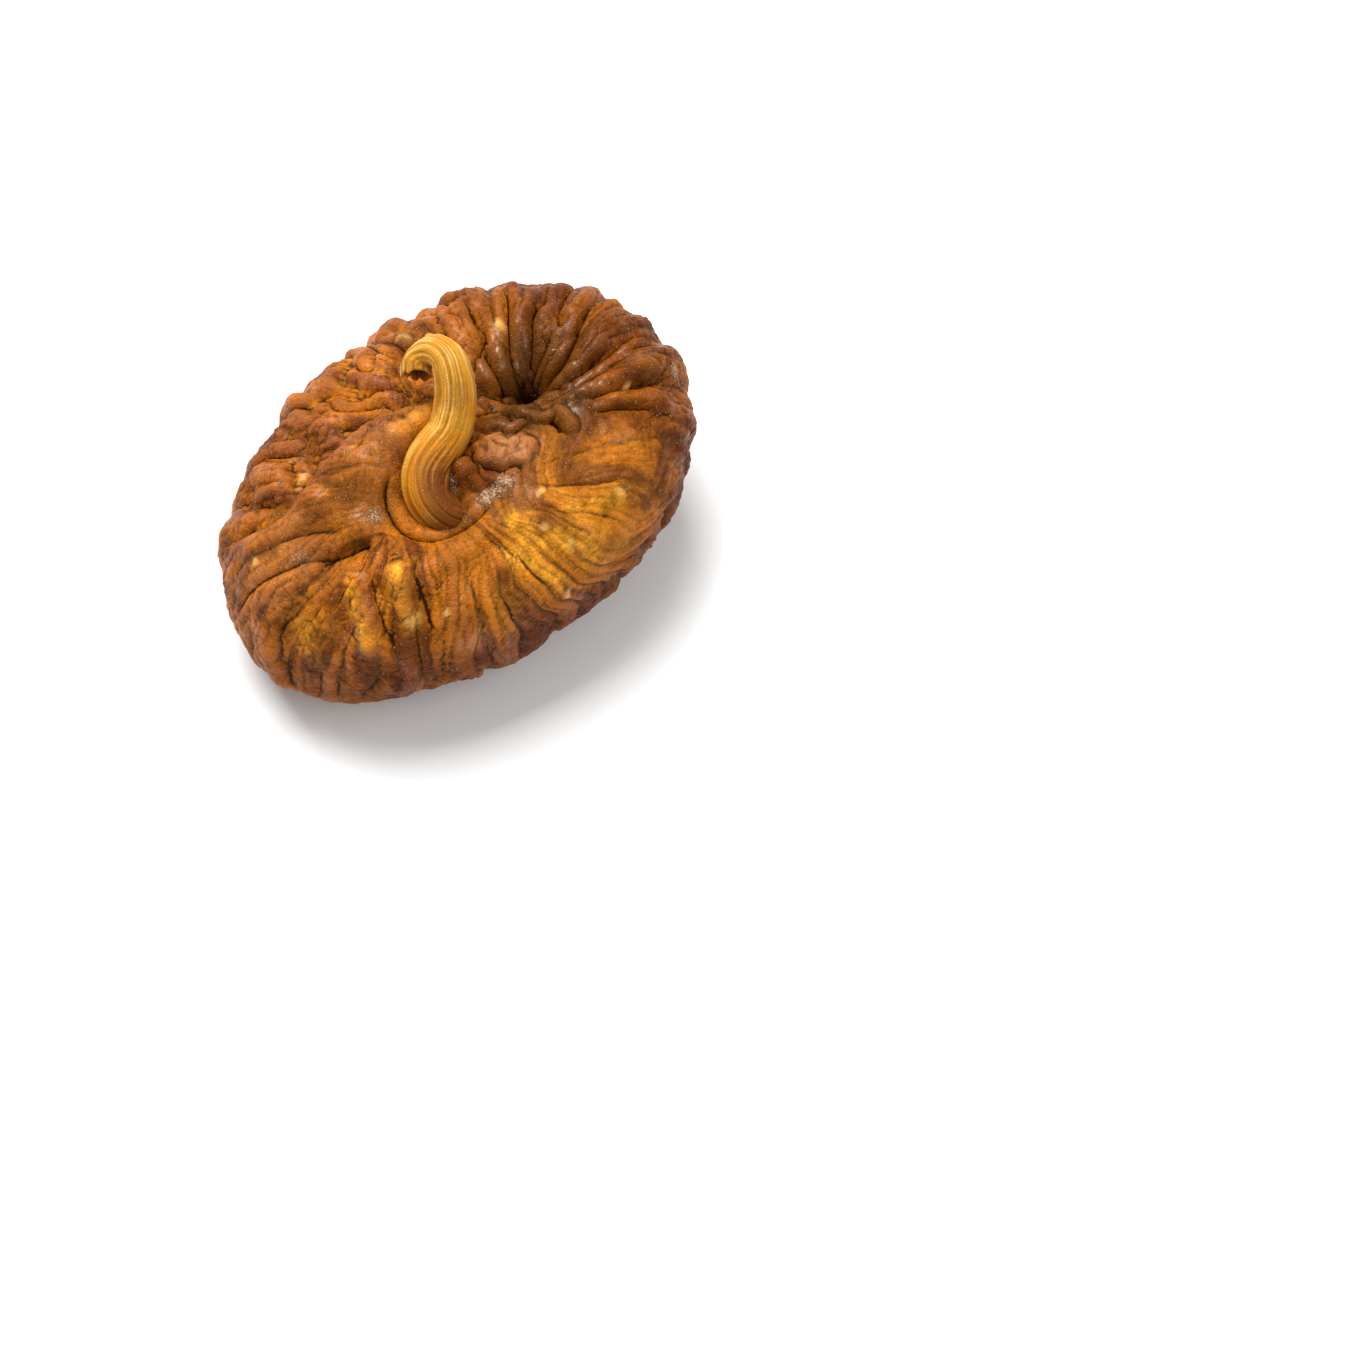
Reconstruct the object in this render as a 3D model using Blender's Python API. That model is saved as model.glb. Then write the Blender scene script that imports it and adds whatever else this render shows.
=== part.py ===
# Dried fig: a flattened, pleated fruit with its bent neck and stalk, lying on its underside.
# Metres, +Z up, long side along X, origin at the middle of the bounding box's underside.

from itertools import product

import bmesh
import bpy
import numpy as np

MM = 0.001
NAME = "fig"

# Fruit before its folds: half length, half width, heights above and below the rim
HALF_LENGTH = 23.9 * MM
HALF_WIDTH = 16.9 * MM
CROWN_HEIGHT = 11.6 * MM
BASE_DEPTH = 11.0 * MM
SQUARENESS = 2.5
LEAN = 0.266
SIDE_LEAN = 0.01
# Swellings of the outline: how many round the rim, share of the radius, bearing
SWELLINGS = ((2, 0.007, 10), (3, 0.011, -52), (4, 0.013, 45), (5, 0.004, 0))

# Crown basin and the dimple in it, placed by bearing in degrees and reach (1 is the rim)
BASIN_DEPTH = 2.0 * MM
BASIN_REACH = 0.38
DIMPLE = (23, 0.225)
DIMPLE_DEPTH = 3.6 * MM
DIMPLE_RADIUS = 2.5 * MM

# Flat spot it rests on, and the eye beside it
REST_RADIUS = 6.0 * MM
REST_CUT = 0.4 * MM
EYE = (16, 1.6)
EYE_DEPTH = 1.8 * MM
EYE_RADIUS = 2.0 * MM

# Pleats that fan out from the seam between the pit and the dimple
PIT = (205, 0.38)
PLEAT_COUNT = 5.2
PLEAT_HEIGHT = 2.0 * MM
RIB_COUNT = 36
RIB_HEIGHT = 0.95 * MM
RIB_WANDER = 1.3
PLEAT_RUN = 13 * MM
UNDER_RUN = 16 * MM
LUMP_COUNT = 3.6
LUMP_RUN = 6 * MM
LUMP_HEIGHT = 2.3 * MM
LOBE_HEIGHT = 0.8 * MM
UNDER_PLEAT_COUNT = 4.5
UNDER_PLEAT_HEIGHT = 1.6 * MM
SKIN_SWELL = 0.3 * MM
# Folds narrower than this are widened to it
NARROWEST_FOLD = 1.0
CREASE_ROUNDING = 0.02

# Neck and stalk: x, y, z of each section's middle, half width across, half depth, in mm
STALK_SECTIONS = (
    (1.3, -3.7, 13.8, 1.0, 1.0),
    (-1.0, -4.8, 16.0, 1.5, 1.35),
    (-3.3, -5.4, 17.9, 1.9, 1.6),
    (-4.9, -4.6, 19.2, 2.2, 1.85),
    (-5.1, -2.9, 20.1, 2.4, 2.05),
    (-3.9, -1.2, 20.7, 2.45, 2.1),
    (-1.9, -0.2, 21.4, 2.35, 2.05),
    (0.4, 0.8, 23.0, 2.1, 1.9),
    (1.9, 1.9, 25.0, 2.0, 1.75),
    (2.6, 2.7, 26.4, 1.9, 1.6),
    (2.9, 3.9, 27.3, 1.75, 1.5),
    (2.7, 5.2, 27.3, 1.55, 1.4),
    (2.2, 6.1, 26.5, 1.5, 1.4),
    (1.6, 6.4, 25.3, 1.6, 1.5),
    (1.1, 6.3, 24.4, 1.8, 1.6),
)
STALK_RIBS = 9
STALK_RIB_HEIGHT = 0.27 * MM
STALK_TWIST = 0.07
STALK_END_DEPTH = 0.7 * MM
STALK_GAP = 0.3 * MM

# Facets: rows along one side of the fruit's six patches, and sides and steps of the stalk
FRUIT_ROWS = 30
STALK_SIDES = 30
STALK_STEPS = 2
MERGE = 0.00004

FRUIT_COLOUR = (0.28, 0.11, 0.03, 1.0)
STALK_COLOUR = (0.62, 0.36, 0.09, 1.0)


# Helpers for smooth steps and for unevenness

def smooth_step(value, low, high):
    t = np.clip((value - low) / (high - low), 0, 1)
    return t * t * (3 - 2 * t)


def gradient_noise(points, seed):
    rng = np.random.default_rng(seed)
    gradients = rng.normal(size=(256, 3))
    gradients /= np.linalg.norm(gradients, axis=1, keepdims=True)
    order = rng.permutation(256)
    cell = np.floor(points).astype(np.int64)
    part = points - cell
    ease = part ** 3 * (part * (part * 6 - 15) + 10)
    total = np.zeros(len(points))
    for corner in product((0, 1), repeat=3):
        i, j, k = ((cell + corner) & 255).T
        gradient = gradients[order[(order[(order[i] + j) & 255] + k) & 255]]
        weight = np.prod(np.where(corner, ease, 1 - ease), axis=1)
        total += weight * np.sum(gradient * (part - corner), axis=1)
    return 1.55 * total


def billow(points, seed, power):
    # round crests between creases
    return (gradient_noise(points, seed) ** 2 + CREASE_ROUNDING) ** (power / 2)


# Fruit's plain skin: bearing is the angle about the crown, reach runs from 0 there
# past 1 at the rim to 2 underneath

def rounded(angle):
    s, c = np.sin(angle), np.cos(angle)
    size = (np.abs(s) ** SQUARENESS + np.abs(c) ** SQUARENESS) ** (-1 / SQUARENESS)
    return size * s, size * c


def plain_skin(turn, reach):
    out, rise = rounded(reach * np.pi / 2)
    z = np.where(rise > 0, CROWN_HEIGHT, BASE_DEPTH) * rise
    swell = sum(share * np.cos(count * (turn - np.radians(at))) for count, share, at in SWELLINGS)
    out = out * (1 + swell * np.clip(out, 0, 1))
    x = HALF_LENGTH * out * np.cos(turn) + LEAN * z
    y = HALF_WIDTH * out * np.sin(turn) + SIDE_LEAN * z
    return np.stack([x, y, z + BASE_DEPTH], axis=-1)


def ribs(turn, drift):
    wave = np.sin(RIB_COUNT / 2 * turn + RIB_WANDER * drift)
    return RIB_HEIGHT * ((wave ** 2 + CREASE_ROUNDING) ** 0.45 - 0.66)


def eye_place():
    return plain_skin(np.radians([EYE[0]]), np.array([EYE[1]]))[0]


# Unrolled plan of the skin: distance from the crown is measured along the skin

def unrolled(bearing, reach):
    angle = np.linspace(0, np.pi, 400)
    out, rise = rounded(angle)
    run = np.hypot(np.diff(out), 0.55 * np.diff(rise))
    run = np.interp(reach, angle * 2 / np.pi, np.concatenate([[0], np.cumsum(run)]))
    turn = np.radians(bearing)
    x, y = 23.5 * MM * run * np.cos(turn), 16.8 * MM * run * np.sin(turn)
    return np.stack(np.broadcast_arrays(x, y), axis=-1)


def spline(points, steps):
    points = np.asarray(points, float)
    points = np.vstack([2 * points[0] - points[1], points, 2 * points[-1] - points[-2]])
    pieces = []
    for i in range(1, len(points) - 2):
        t = np.linspace(0, 1, steps, endpoint=i == len(points) - 3)[:, None]
        a, b, c, d = points[i - 1:i + 3]
        cubic = (2 * a - 5 * b + 4 * c - d) * t ** 2 + (3 * b - a - 3 * c + d) * t ** 3
        pieces.append(0.5 * (2 * b + (c - a) * t + cubic))
    return np.vstack(pieces)


def line(start, end, bow=0.0, sway=0.0):
    first, last = unrolled(*start), unrolled(*end)
    along = last - first
    across = np.array([-along[1], along[0]])
    t = np.linspace(0, 1, 24)[:, None]
    return first + along * t + across * (bow * 4 * t * (1 - t) + sway * np.sin(2 * np.pi * t))


def bend(*places):
    return spline([unrolled(*place) for place in places], 12)


def along_line(plan, path, start, end):
    nearest = np.full(len(plan), 1.0)
    side = np.ones(len(plan))
    share = np.zeros(len(plan))
    legs = np.diff(path, axis=0)
    lengths = np.hypot(*legs.T)
    run = np.concatenate([[0], np.cumsum(lengths)])
    for i, leg in enumerate(legs):
        offset = plan - path[i]
        t = np.clip(offset @ leg / lengths[i] ** 2, 0, 1)
        gap = np.hypot(*(offset - t[:, None] * leg).T)
        closer = gap < nearest
        nearest[closer] = gap[closer]
        side[closer] = np.sign(leg[0] * offset[closer, 1] - leg[1] * offset[closer, 0])
        share[closer] = (run[i] + t[closer] * lengths[i]) / run[-1]
    fade = smooth_step(share, 0, start) if start else 1.0
    fade = fade * smooth_step(1 - share, 0, end) if end else fade
    return nearest * side, fade


# Kinds of fold, heights and widths in mm

def ridge(plan, path, height, width, start=0.15, end=0.3):
    gap, fade = along_line(plan, path, start, end)
    return height * MM * np.exp(-(gap / (width * MM)) ** 2) * fade


def crease(plan, path, depth, width, start=0.15, end=0.3):
    gap, fade = along_line(plan, path, start, end)
    width = max(width, NARROWEST_FOLD) * MM
    return -depth * MM * np.exp(-(np.abs(gap) / width) ** 1.3) * fade


def lip(plan, path, height, run, drop, back, start=0.12, end=0.2, edge=0.4):
    # the skin left of the path stands up and the skin right of it drops
    gap, fade = along_line(plan, path, start, end)
    up = height * np.exp(-np.clip(gap, 0, None) / (run * MM))
    down = -drop * np.exp(np.clip(gap, None, 0) / (back * MM))
    side = 0.5 + 0.5 * np.tanh(gap / (edge * MM))
    return MM * (up * side + down * (1 - side)) * fade


def mound(plan, place, radius, power=2):
    gap = np.hypot(*(plan - unrolled(*place)).T)
    return np.exp(-(gap / (radius * MM)) ** power)


def knob(plan, place, height, radius, edge=0.6):
    gap = np.hypot(*(plan - unrolled(*place)).T) / MM
    return height * MM * (0.5 - 0.5 * np.tanh((gap - radius) / edge))


def folds(plan):
    h = -DIMPLE_DEPTH * mound(plan, DIMPLE, DIMPLE_RADIUS / MM, 1.6)
    h -= 2.0 * MM * mound(plan, DIMPLE, 5.5)
    h += ridge(plan, line(DIMPLE, (112, 0.17), 0.1), -2.4, 1.8, 0, 0.3)
    # shoulder: a long soft roll whose far edge stands over the back
    h += ridge(plan, line((150, 0.16), (167, 0.95), 0.08, -0.04), 1.5, 3.4, 0.1, 0.3)
    edge = bend((104, 0.17), (131, 0.29), (155, 0.42), (167, 0.5), (166, 0.62), (157, 0.9))
    h += lip(plan, edge, 0.7, 3.0, 1.9, 2.6)
    # trench for the neck, the crease outside it and the roll of skin round both
    trench = bend((243, 0.26), (226, 0.28), (212, 0.26), (195, 0.21), (150, 0.12))
    h += ridge(plan, trench, -2.2, 2.3, 0.2, 0.4)
    rim = bend((168, 0.24), (188, 0.3), (204, 0.345), (218, 0.375), (231, 0.38), (244, 0.35), (256, 0.29))
    h += crease(plan, rim, 1.5, 0.6, 0.3, 0.3)
    h += ridge(plan, line((180, 0.345), (252, 0.39), -0.45, -0.06), 0.7, 1.2, 0.2, 0.25)
    # knob beside the stalk, and the folds under it
    h += knob(plan, (272, 0.15), 1.3, 1.9)
    h += crease(plan, bend((236, 0.12), (250, 0.19), (264, 0.235), (280, 0.25)), 1.0, 0.6, 0.2, 0.2)
    h += ridge(plan, line((250, 0.245), (296, 0.27), -0.13), 0.4, 1.3)
    # pit, and the folds that leave it toward the left
    h += crease(plan, line((205, 0.41), (190, 0.56)), 1.4, 1.0)
    h += lip(plan, line((204, 1.3), (200, 0.46), 0.21), 0.8, 2.6, 0.9, 1.5)
    h += crease(plan, line((198, 0.46), (173, 1.1), -0.03), 1.1, 0.6)
    h += crease(plan, line((190, 0.42), (166, 0.9), 0, -0.02), 0.9, 0.6)
    h += ridge(plan, line((205, 0.49), (223, 0.86), 0.03), 0.9, 1.1)
    h += ridge(plan, line((217, 0.44), (227, 0.64)), 0.9, 1.0)
    h += crease(plan, line((219, 0.44), (238, 0.82), 0.03), 1.4, 0.55)
    h += crease(plan, line((208, 0.48), (228, 0.8), -0.05), 1.1, 0.55)
    # broad lobes on the right, parted by shallow creases
    h += crease(plan, line((266, 0.27), (302, 0.8), 0, -0.03), 0.8, 0.7)
    h += crease(plan, line((256, 0.33), (292, 0.8), 0, -0.02), 0.7, 0.7)
    h += crease(plan, line((246, 0.4), (267, 0.85), 0.03), 0.8, 0.7)
    h += crease(plan, line((280, 0.26), (320, 0.75)), 0.8, 0.7)
    # finger-like fold left of the dimple, and creases that climb out of it
    h += ridge(plan, bend((60, 0.3), (56, 0.23), (43, 0.17)), 1.3, 1.2, 0.2, 0.2)
    h += crease(plan, bend((66, 0.56), (65, 0.44), (63, 0.36), (68, 0.26), (68, 0.19)), 1.4, 0.7, 0.2, 0.1)
    h += crease(plan, bend((53, 0.6), (52, 0.45), (48, 0.36), (38, 0.26)), 1.5, 0.7, 0.3, 0.1)
    h += crease(plan, bend((35, 0.64), (31, 0.44), (26, 0.3)), 1.5, 0.7, 0.3, 0.1)
    h += crease(plan, bend((20, 0.56), (14, 0.37), (11, 0.28)), 1.5, 0.7, 0.3, 0.1)
    h += crease(plan, bend((2, 0.6), (357, 0.42), (355, 0.3), (2, 0.22)), 1.2, 0.7, 0.3, 0.1)
    # folds right of the dimple
    h += crease(plan, bend((352, 0.5), (348, 0.37), (344, 0.27), (350, 0.19)), 1.6, 0.7, 0.3, 0.1)
    h += ridge(plan, bend((345, 0.62), (340, 0.38), (342, 0.25), (350, 0.18)), 1.2, 1.0, 0.3, 0.2)
    h += crease(plan, bend((336, 0.55), (334, 0.4), (333, 0.28)), 1.0, 0.7, 0.3, 0.3)
    h += ridge(plan, bend((334, 0.2), (325, 0.23), (314, 0.27), (308, 0.27)), 1.0, 0.8, 0.2, 0.2)
    h += ridge(plan, bend((350, 0.03), (330, 0.06), (323, 0.12), (327, 0.17)), 1.1, 0.9, 0.1, 0.2)
    return h


def zones(plan, reach):
    places = ((125, 0.55, 7), (148, 0.58, 4.5), (100, 0.62, 6.5), (75, 0.72, 5))
    lumpy = np.clip(sum(mound(plan, (b, r), size) for b, r, size in places), 0, 1)
    places = ((275, 0.52, 8.5), (300, 0.55, 6), (250, 0.5, 4))
    broad = np.clip(sum(mound(plan, (b, r), size) for b, r, size in places), 0, 1)
    calm = ridge(plan, line((150, 0.12), (170, 0.8), 0.08), 1 / MM, 3.6, 0, 0.3)
    calm = np.clip(calm + mound(plan, (230, 0.2), 5), 0, 1)
    side = 1 - smooth_step(reach, 0.8, 1.05)
    return smooth_step(reach, 1.05, 1.35), lumpy * side, broad * side, calm * side


def pleats(plan, skin, reach):
    wander = [gradient_noise(skin / (size * MM) + shift, seed) * reachout * MM
              for size, shift, seed, reachout in ((8, 0, 11, 1.3), (8, 40, 12, 1.3),
                                                  (3, 0, 13, 0.3), (3, 40, 14, 0.3))]
    place = plan + np.stack([wander[0] + wander[2], wander[1] + wander[3]], axis=-1)
    # two ends of the seam give each place a bearing round it and a distance from it
    first, last = unrolled(*PIT), unrolled(*DIMPLE)
    seam = last - first
    near, far = np.hypot(*(place - first).T), np.hypot(*(place - last).T)
    cosine = np.clip((near - far) / np.hypot(*seam), -1, 1)
    side = np.sign(seam[0] * (place - first)[:, 1] - seam[1] * (place - first)[:, 0])
    sine = side * np.sqrt(1 - cosine ** 2)
    away = (near + far - np.hypot(*seam)) / 2

    def fan(count, run, offset):
        return np.stack([count * cosine, count * sine, away / run + offset], axis=-1)

    drift = gradient_noise(skin / (9 * MM), 17)
    pleat = PLEAT_HEIGHT * (billow(fan(PLEAT_COUNT, PLEAT_RUN, 1), 1, 0.8) - 0.36)
    pleat += ribs(np.arctan2(sine, cosine), drift) * smooth_step(away, 3 * MM, 9 * MM)
    under, lumpy, broad, calm = zones(plan, reach)
    h = pleat * smooth_step(away, 0.5 * MM, 6 * MM)
    drawn = (1 - 0.7 * mound(plan, DIMPLE, 5.5, 4)) * (1 - 0.3 * mound(plan, (222, 0.75), 9))
    h *= (1 - 0.85 * lumpy) * (1 - under) * (1 - 0.6 * broad) * (1 - 0.85 * calm) * drawn
    jitter = 0.4 * gradient_noise(skin / (3 * MM), 5)[:, None]
    lump = billow(fan(LUMP_COUNT, LUMP_RUN, 3) + jitter, 6, 0.7)
    lobe = billow(skin / (4.2 * MM), 9, 0.9)
    h += lumpy * LUMP_HEIGHT * (lump - 0.4) + broad * LOBE_HEIGHT * (lobe - 0.22)
    # underneath the pleats gather at the eye
    out = skin - eye_place()
    gone = np.linalg.norm(out, axis=1)
    turn = np.arctan2(out[:, 1], out[:, 0]) + 0.25 * gradient_noise(skin / (9 * MM), 15)
    turned = np.stack([UNDER_PLEAT_COUNT * np.cos(turn), UNDER_PLEAT_COUNT * np.sin(turn),
                       gone / UNDER_RUN], axis=-1)
    fade = under * smooth_step(gone, 1.5 * MM, 8 * MM)
    h += UNDER_PLEAT_HEIGHT * (billow(turned, 16, 0.8) - 0.36) * fade
    return h + ribs(turn, drift) * fade


# Grids of facets

def loose_normals(points, quads):
    cross = np.cross(points[quads[:, 2]] - points[quads[:, 0]], points[quads[:, 3]] - points[quads[:, 1]])
    total = np.zeros_like(points)
    for corner in quads.T:
        np.add.at(total, corner, cross)
    return total / np.linalg.norm(total, axis=1, keepdims=True)


def relaxed(values, edges, share=0.5):
    count = np.bincount(edges.ravel(), minlength=len(values))[:, None]
    total = np.zeros_like(values)
    np.add.at(total, edges[:, 0], values[edges[:, 1]])
    np.add.at(total, edges[:, 1], values[edges[:, 0]])
    return values * (1 - share) + share * total / count


def fruit_mesh(rows):
    bm = bmesh.new()
    bmesh.ops.create_cube(bm, size=2.0)
    bmesh.ops.subdivide_edges(bm, edges=bm.edges[:], cuts=rows - 1, use_grid_fill=True)
    bmesh.ops.recalc_face_normals(bm, faces=bm.faces[:])
    ball = np.tan(np.array([v.co for v in bm.verts]) * np.pi / 4)
    ball /= np.linalg.norm(ball, axis=1, keepdims=True)
    # facets are a little closer together on the crown
    ball[:, 2] += 0.3
    ball /= np.linalg.norm(ball, axis=1, keepdims=True)
    quads = np.array([[v.index for v in f.verts] for f in bm.faces])
    edges = np.array([[v.index for v in e.verts] for e in bm.edges])

    turn = np.arctan2(ball[:, 1], ball[:, 0])
    reach = np.arccos(np.clip(ball[:, 2], -1, 1)) * 2 / np.pi
    skin = plain_skin(turn, reach)
    outward = loose_normals(skin, quads)
    plan = unrolled(np.degrees(turn), reach)
    middle = plain_skin(np.zeros(1), np.full(1, 2.0))[0]
    rest = np.hypot(*(skin - middle)[:, :2].T)
    still = smooth_step(rest, REST_RADIUS, 1.7 * REST_RADIUS)
    still = np.where(reach > 1, still, 1)
    h = folds(plan) + pleats(plan, skin, reach) * still
    h -= BASIN_DEPTH * np.exp(-(reach / BASIN_REACH) ** 2)
    hollow = np.linalg.norm(skin - eye_place(), axis=1) / EYE_RADIUS
    h -= EYE_DEPTH * (np.exp(-hollow ** 2) - 0.3 * np.exp(-(hollow - 1.9) ** 2 / 0.3))
    skin = skin + outward * (h - SKIN_SWELL)[:, None]
    skin = relaxed(skin, edges, 0.35)
    # swelling the skin outward narrows its creases
    for _ in range(2):
        skin += relaxed(loose_normals(skin, quads), edges) * SKIN_SWELL / 2
    skin[:, 2] = np.clip(skin[:, 2] - REST_CUT, 0, None)
    for vert, place in zip(bm.verts, skin):
        vert.co = place
    mesh = bpy.data.meshes.new("fruit")
    bm.to_mesh(mesh)
    bm.free()
    return mesh


def stalk_rings(grow, ribbed):
    sections = spline(STALK_SECTIONS, STALK_STEPS + 1) * MM
    middle, across, deep = sections[:, :3], sections[:, 3] + grow, sections[:, 4] + grow
    middle = middle - [0, 0, REST_CUT]
    heading = np.gradient(middle, axis=0)
    heading /= np.linalg.norm(heading, axis=1, keepdims=True)
    run = np.concatenate([[0], np.cumsum(np.linalg.norm(np.diff(middle, axis=0), axis=1))])
    side = np.cross(heading[0], [0, 0, 1])
    turn = np.linspace(0, 2 * np.pi, STALK_SIDES, endpoint=False)
    rings = []
    for i, ahead in enumerate(heading):
        side = side - ahead * (side @ ahead)
        side /= np.linalg.norm(side)
        up = np.cross(side, ahead)
        phase = turn + STALK_TWIST * run[i] / MM + 0.12 * np.sin(2 * turn)
        rib = STALK_RIB_HEIGHT * (np.abs(np.cos(STALK_RIBS / 2 * phase)) ** 0.7 - 0.6) * ribbed
        spokes = np.outer((across[i] + rib) * np.cos(turn), side)
        rings.append(middle[i] + spokes + np.outer((deep[i] + rib) * np.sin(turn), up))
    return np.array(rings), heading


def stalk_mesh(name, grow=0.0, ribbed=1.0):
    rings, heading = stalk_rings(grow, ribbed)
    first = rings[0].mean(axis=0) - heading[0] * (0.5 * MM + grow)
    last = rings[-1].mean(axis=0) + heading[-1] * grow
    if ribbed:
        # the cut end is a shallow hollow inside its rim
        rim = last + 0.72 * (rings[-1] - last)
        rings = np.concatenate([rings, [rim - heading[-1] * 0.15 * MM]])
        last = last - heading[-1] * STALK_END_DEPTH
    bm = bmesh.new()
    loops = [[bm.verts.new(place) for place in ring] for ring in rings]
    for low, high in zip(loops, loops[1:]):
        for j in range(STALK_SIDES):
            k = (j + 1) % STALK_SIDES
            bm.faces.new((low[j], low[k], high[k], high[j]))
    for place, loop in ((first, loops[0]), (last, loops[-1])):
        tip = bm.verts.new(place)
        for j in range(STALK_SIDES):
            bm.faces.new((tip, loop[j], loop[(j + 1) % STALK_SIDES]))
    bmesh.ops.recalc_face_normals(bm, faces=bm.faces[:])
    mesh = bpy.data.meshes.new(name)
    bm.to_mesh(mesh)
    bm.free()
    return mesh


def add_object(name, mesh, collection, colour=None):
    obj = bpy.data.objects.new(name, mesh)
    collection.objects.link(obj)
    if colour:
        material = bpy.data.materials.new(name)
        material.use_nodes = True
        shader = material.node_tree.nodes["Principled BSDF"]
        shader.inputs["Base Color"].default_value = colour
        shader.inputs["Roughness"].default_value = 0.5
        mesh.materials.append(material)
        mesh.shade_smooth()
    return obj


def add_collection(name):
    collection = bpy.data.collections.new(name)
    bpy.context.scene.collection.children.link(collection)
    return collection


for old in list(bpy.data.objects):
    bpy.data.objects.remove(old, do_unlink=True)

parts = add_collection(NAME)
cutters = add_collection("cutters")

fruit = add_object("fruit", fruit_mesh(FRUIT_ROWS), parts, FRUIT_COLOUR)
stem = add_object("stem", stalk_mesh("stem"), parts, STALK_COLOUR)

# Pocket in the crown that holds the neck with a thin gap
pocket = add_object("pocket_cutter", stalk_mesh("pocket_cutter", STALK_GAP, 0.0), cutters)
pocket.hide_render = True
pocket.display_type = "WIRE"
cut = fruit.modifiers.new("pocket", "BOOLEAN")
cut.operation = "DIFFERENCE"
cut.solver = "EXACT"
cut.object = pocket
bpy.context.view_layer.update()
evaluated = fruit.evaluated_get(bpy.context.evaluated_depsgraph_get())
whole = bpy.data.meshes.new_from_object(evaluated)
fruit.modifiers.remove(cut)
bm = bmesh.new()
bm.from_mesh(whole)
bmesh.ops.remove_doubles(bm, verts=bm.verts[:], dist=MERGE)
bm.to_mesh(whole)
bm.free()
fruit.data = whole

# Bounding box centred over the origin
corners = np.array([v.co for obj in (fruit, stem) for v in obj.data.vertices])
low, high = corners.min(axis=0), corners.max(axis=0)
shift = np.array([(low[0] + high[0]) / 2, (low[1] + high[1]) / 2, low[2]])
for obj in (fruit, stem, pocket):
    for vert in obj.data.vertices:
        vert.co = np.array(vert.co) - shift

for obj in (fruit, stem):
    faces = sum(len(p.vertices) - 2 for p in obj.data.polygons)
    print(obj.name, faces, "triangles")
print("shift", (shift / MM).round(3), "size", ((high - low) / MM).round(2), "mm")
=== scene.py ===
from itertools import product

import bmesh
import bpy
import numpy as np
from mathutils import Matrix, Vector


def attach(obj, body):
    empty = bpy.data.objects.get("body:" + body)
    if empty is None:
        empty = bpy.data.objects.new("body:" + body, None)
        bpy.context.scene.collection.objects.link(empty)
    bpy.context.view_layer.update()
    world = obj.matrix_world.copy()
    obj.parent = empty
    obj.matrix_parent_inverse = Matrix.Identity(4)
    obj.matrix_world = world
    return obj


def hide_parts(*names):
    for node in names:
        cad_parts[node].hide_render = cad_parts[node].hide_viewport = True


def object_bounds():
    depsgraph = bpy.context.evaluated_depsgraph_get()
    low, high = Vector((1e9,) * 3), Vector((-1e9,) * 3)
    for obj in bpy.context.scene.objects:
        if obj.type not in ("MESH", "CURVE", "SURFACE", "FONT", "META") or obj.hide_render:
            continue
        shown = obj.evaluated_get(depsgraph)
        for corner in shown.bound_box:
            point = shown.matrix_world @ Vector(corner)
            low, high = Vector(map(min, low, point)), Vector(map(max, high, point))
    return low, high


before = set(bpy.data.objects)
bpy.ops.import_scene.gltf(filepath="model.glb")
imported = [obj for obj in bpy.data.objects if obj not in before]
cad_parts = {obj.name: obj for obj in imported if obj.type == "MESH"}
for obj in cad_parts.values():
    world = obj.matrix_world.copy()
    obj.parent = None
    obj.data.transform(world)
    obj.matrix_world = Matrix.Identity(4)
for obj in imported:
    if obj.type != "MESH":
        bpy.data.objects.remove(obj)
cadLow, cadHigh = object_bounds()
mm = 0.001
boxShift = np.array([-0.243, 0.033, 0.0])  # mm, from the shape's own centre to the CAD's
print("frame loaded, CAD box", [round(v / mm, 2) for v in cadHigh - cadLow], "mm")


# Small helpers. Shapes are worked out in mm and scaled when the mesh is made

def smoothStep(value, low, high):
    t = np.clip((value - low) / (high - low), 0, 1)
    return t * t * (3 - 2 * t)


def tone(red, green, blue):
    # a colour as a paint chart gives it, turned into the shader's linear values
    share = np.array([red, green, blue]) / 255
    linear = np.where(share < 0.04045, share / 12.92, ((share + 0.055) / 1.055) ** 2.4)
    return (*linear.tolist(), 1.0)


def noiseField(points, seed):
    # smooth noise with one swing for each unit of the points
    rng = np.random.default_rng(seed)
    gradients = rng.normal(size=(256, 3))
    gradients /= np.linalg.norm(gradients, axis=1, keepdims=True)
    order = rng.permutation(256)
    cell = np.floor(points).astype(np.int64)
    part = points - cell
    ease = part ** 3 * (part * (part * 6 - 15) + 10)
    total = np.zeros(len(points))
    for corner in product((0, 1), repeat=3):
        i, j, k = ((cell + corner) & 255).T
        gradient = gradients[order[(order[(order[i] + j) & 255] + k) & 255]]
        weight = np.prod(np.where(corner, ease, 1 - ease), axis=1)
        total += weight * np.sum(gradient * (part - corner), axis=1)
    return 1.55 * total  # spread over about -1 to 1


def billow(points, seed, power, rounding=0.002):
    # round crests between creases
    return (noiseField(points, seed) ** 2 + rounding) ** (power / 2)


def looseNormals(points, quads):
    # normals at the corners, from the diagonals of the quads round each
    cross = np.cross(points[quads[:, 2]] - points[quads[:, 0]], points[quads[:, 3]] - points[quads[:, 1]])
    total = np.stack([sum(np.bincount(corner, cross[:, axis], len(points)) for corner in quads.T)
                      for axis in range(3)], axis=-1)
    return total / np.linalg.norm(total, axis=1, keepdims=True)


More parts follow.
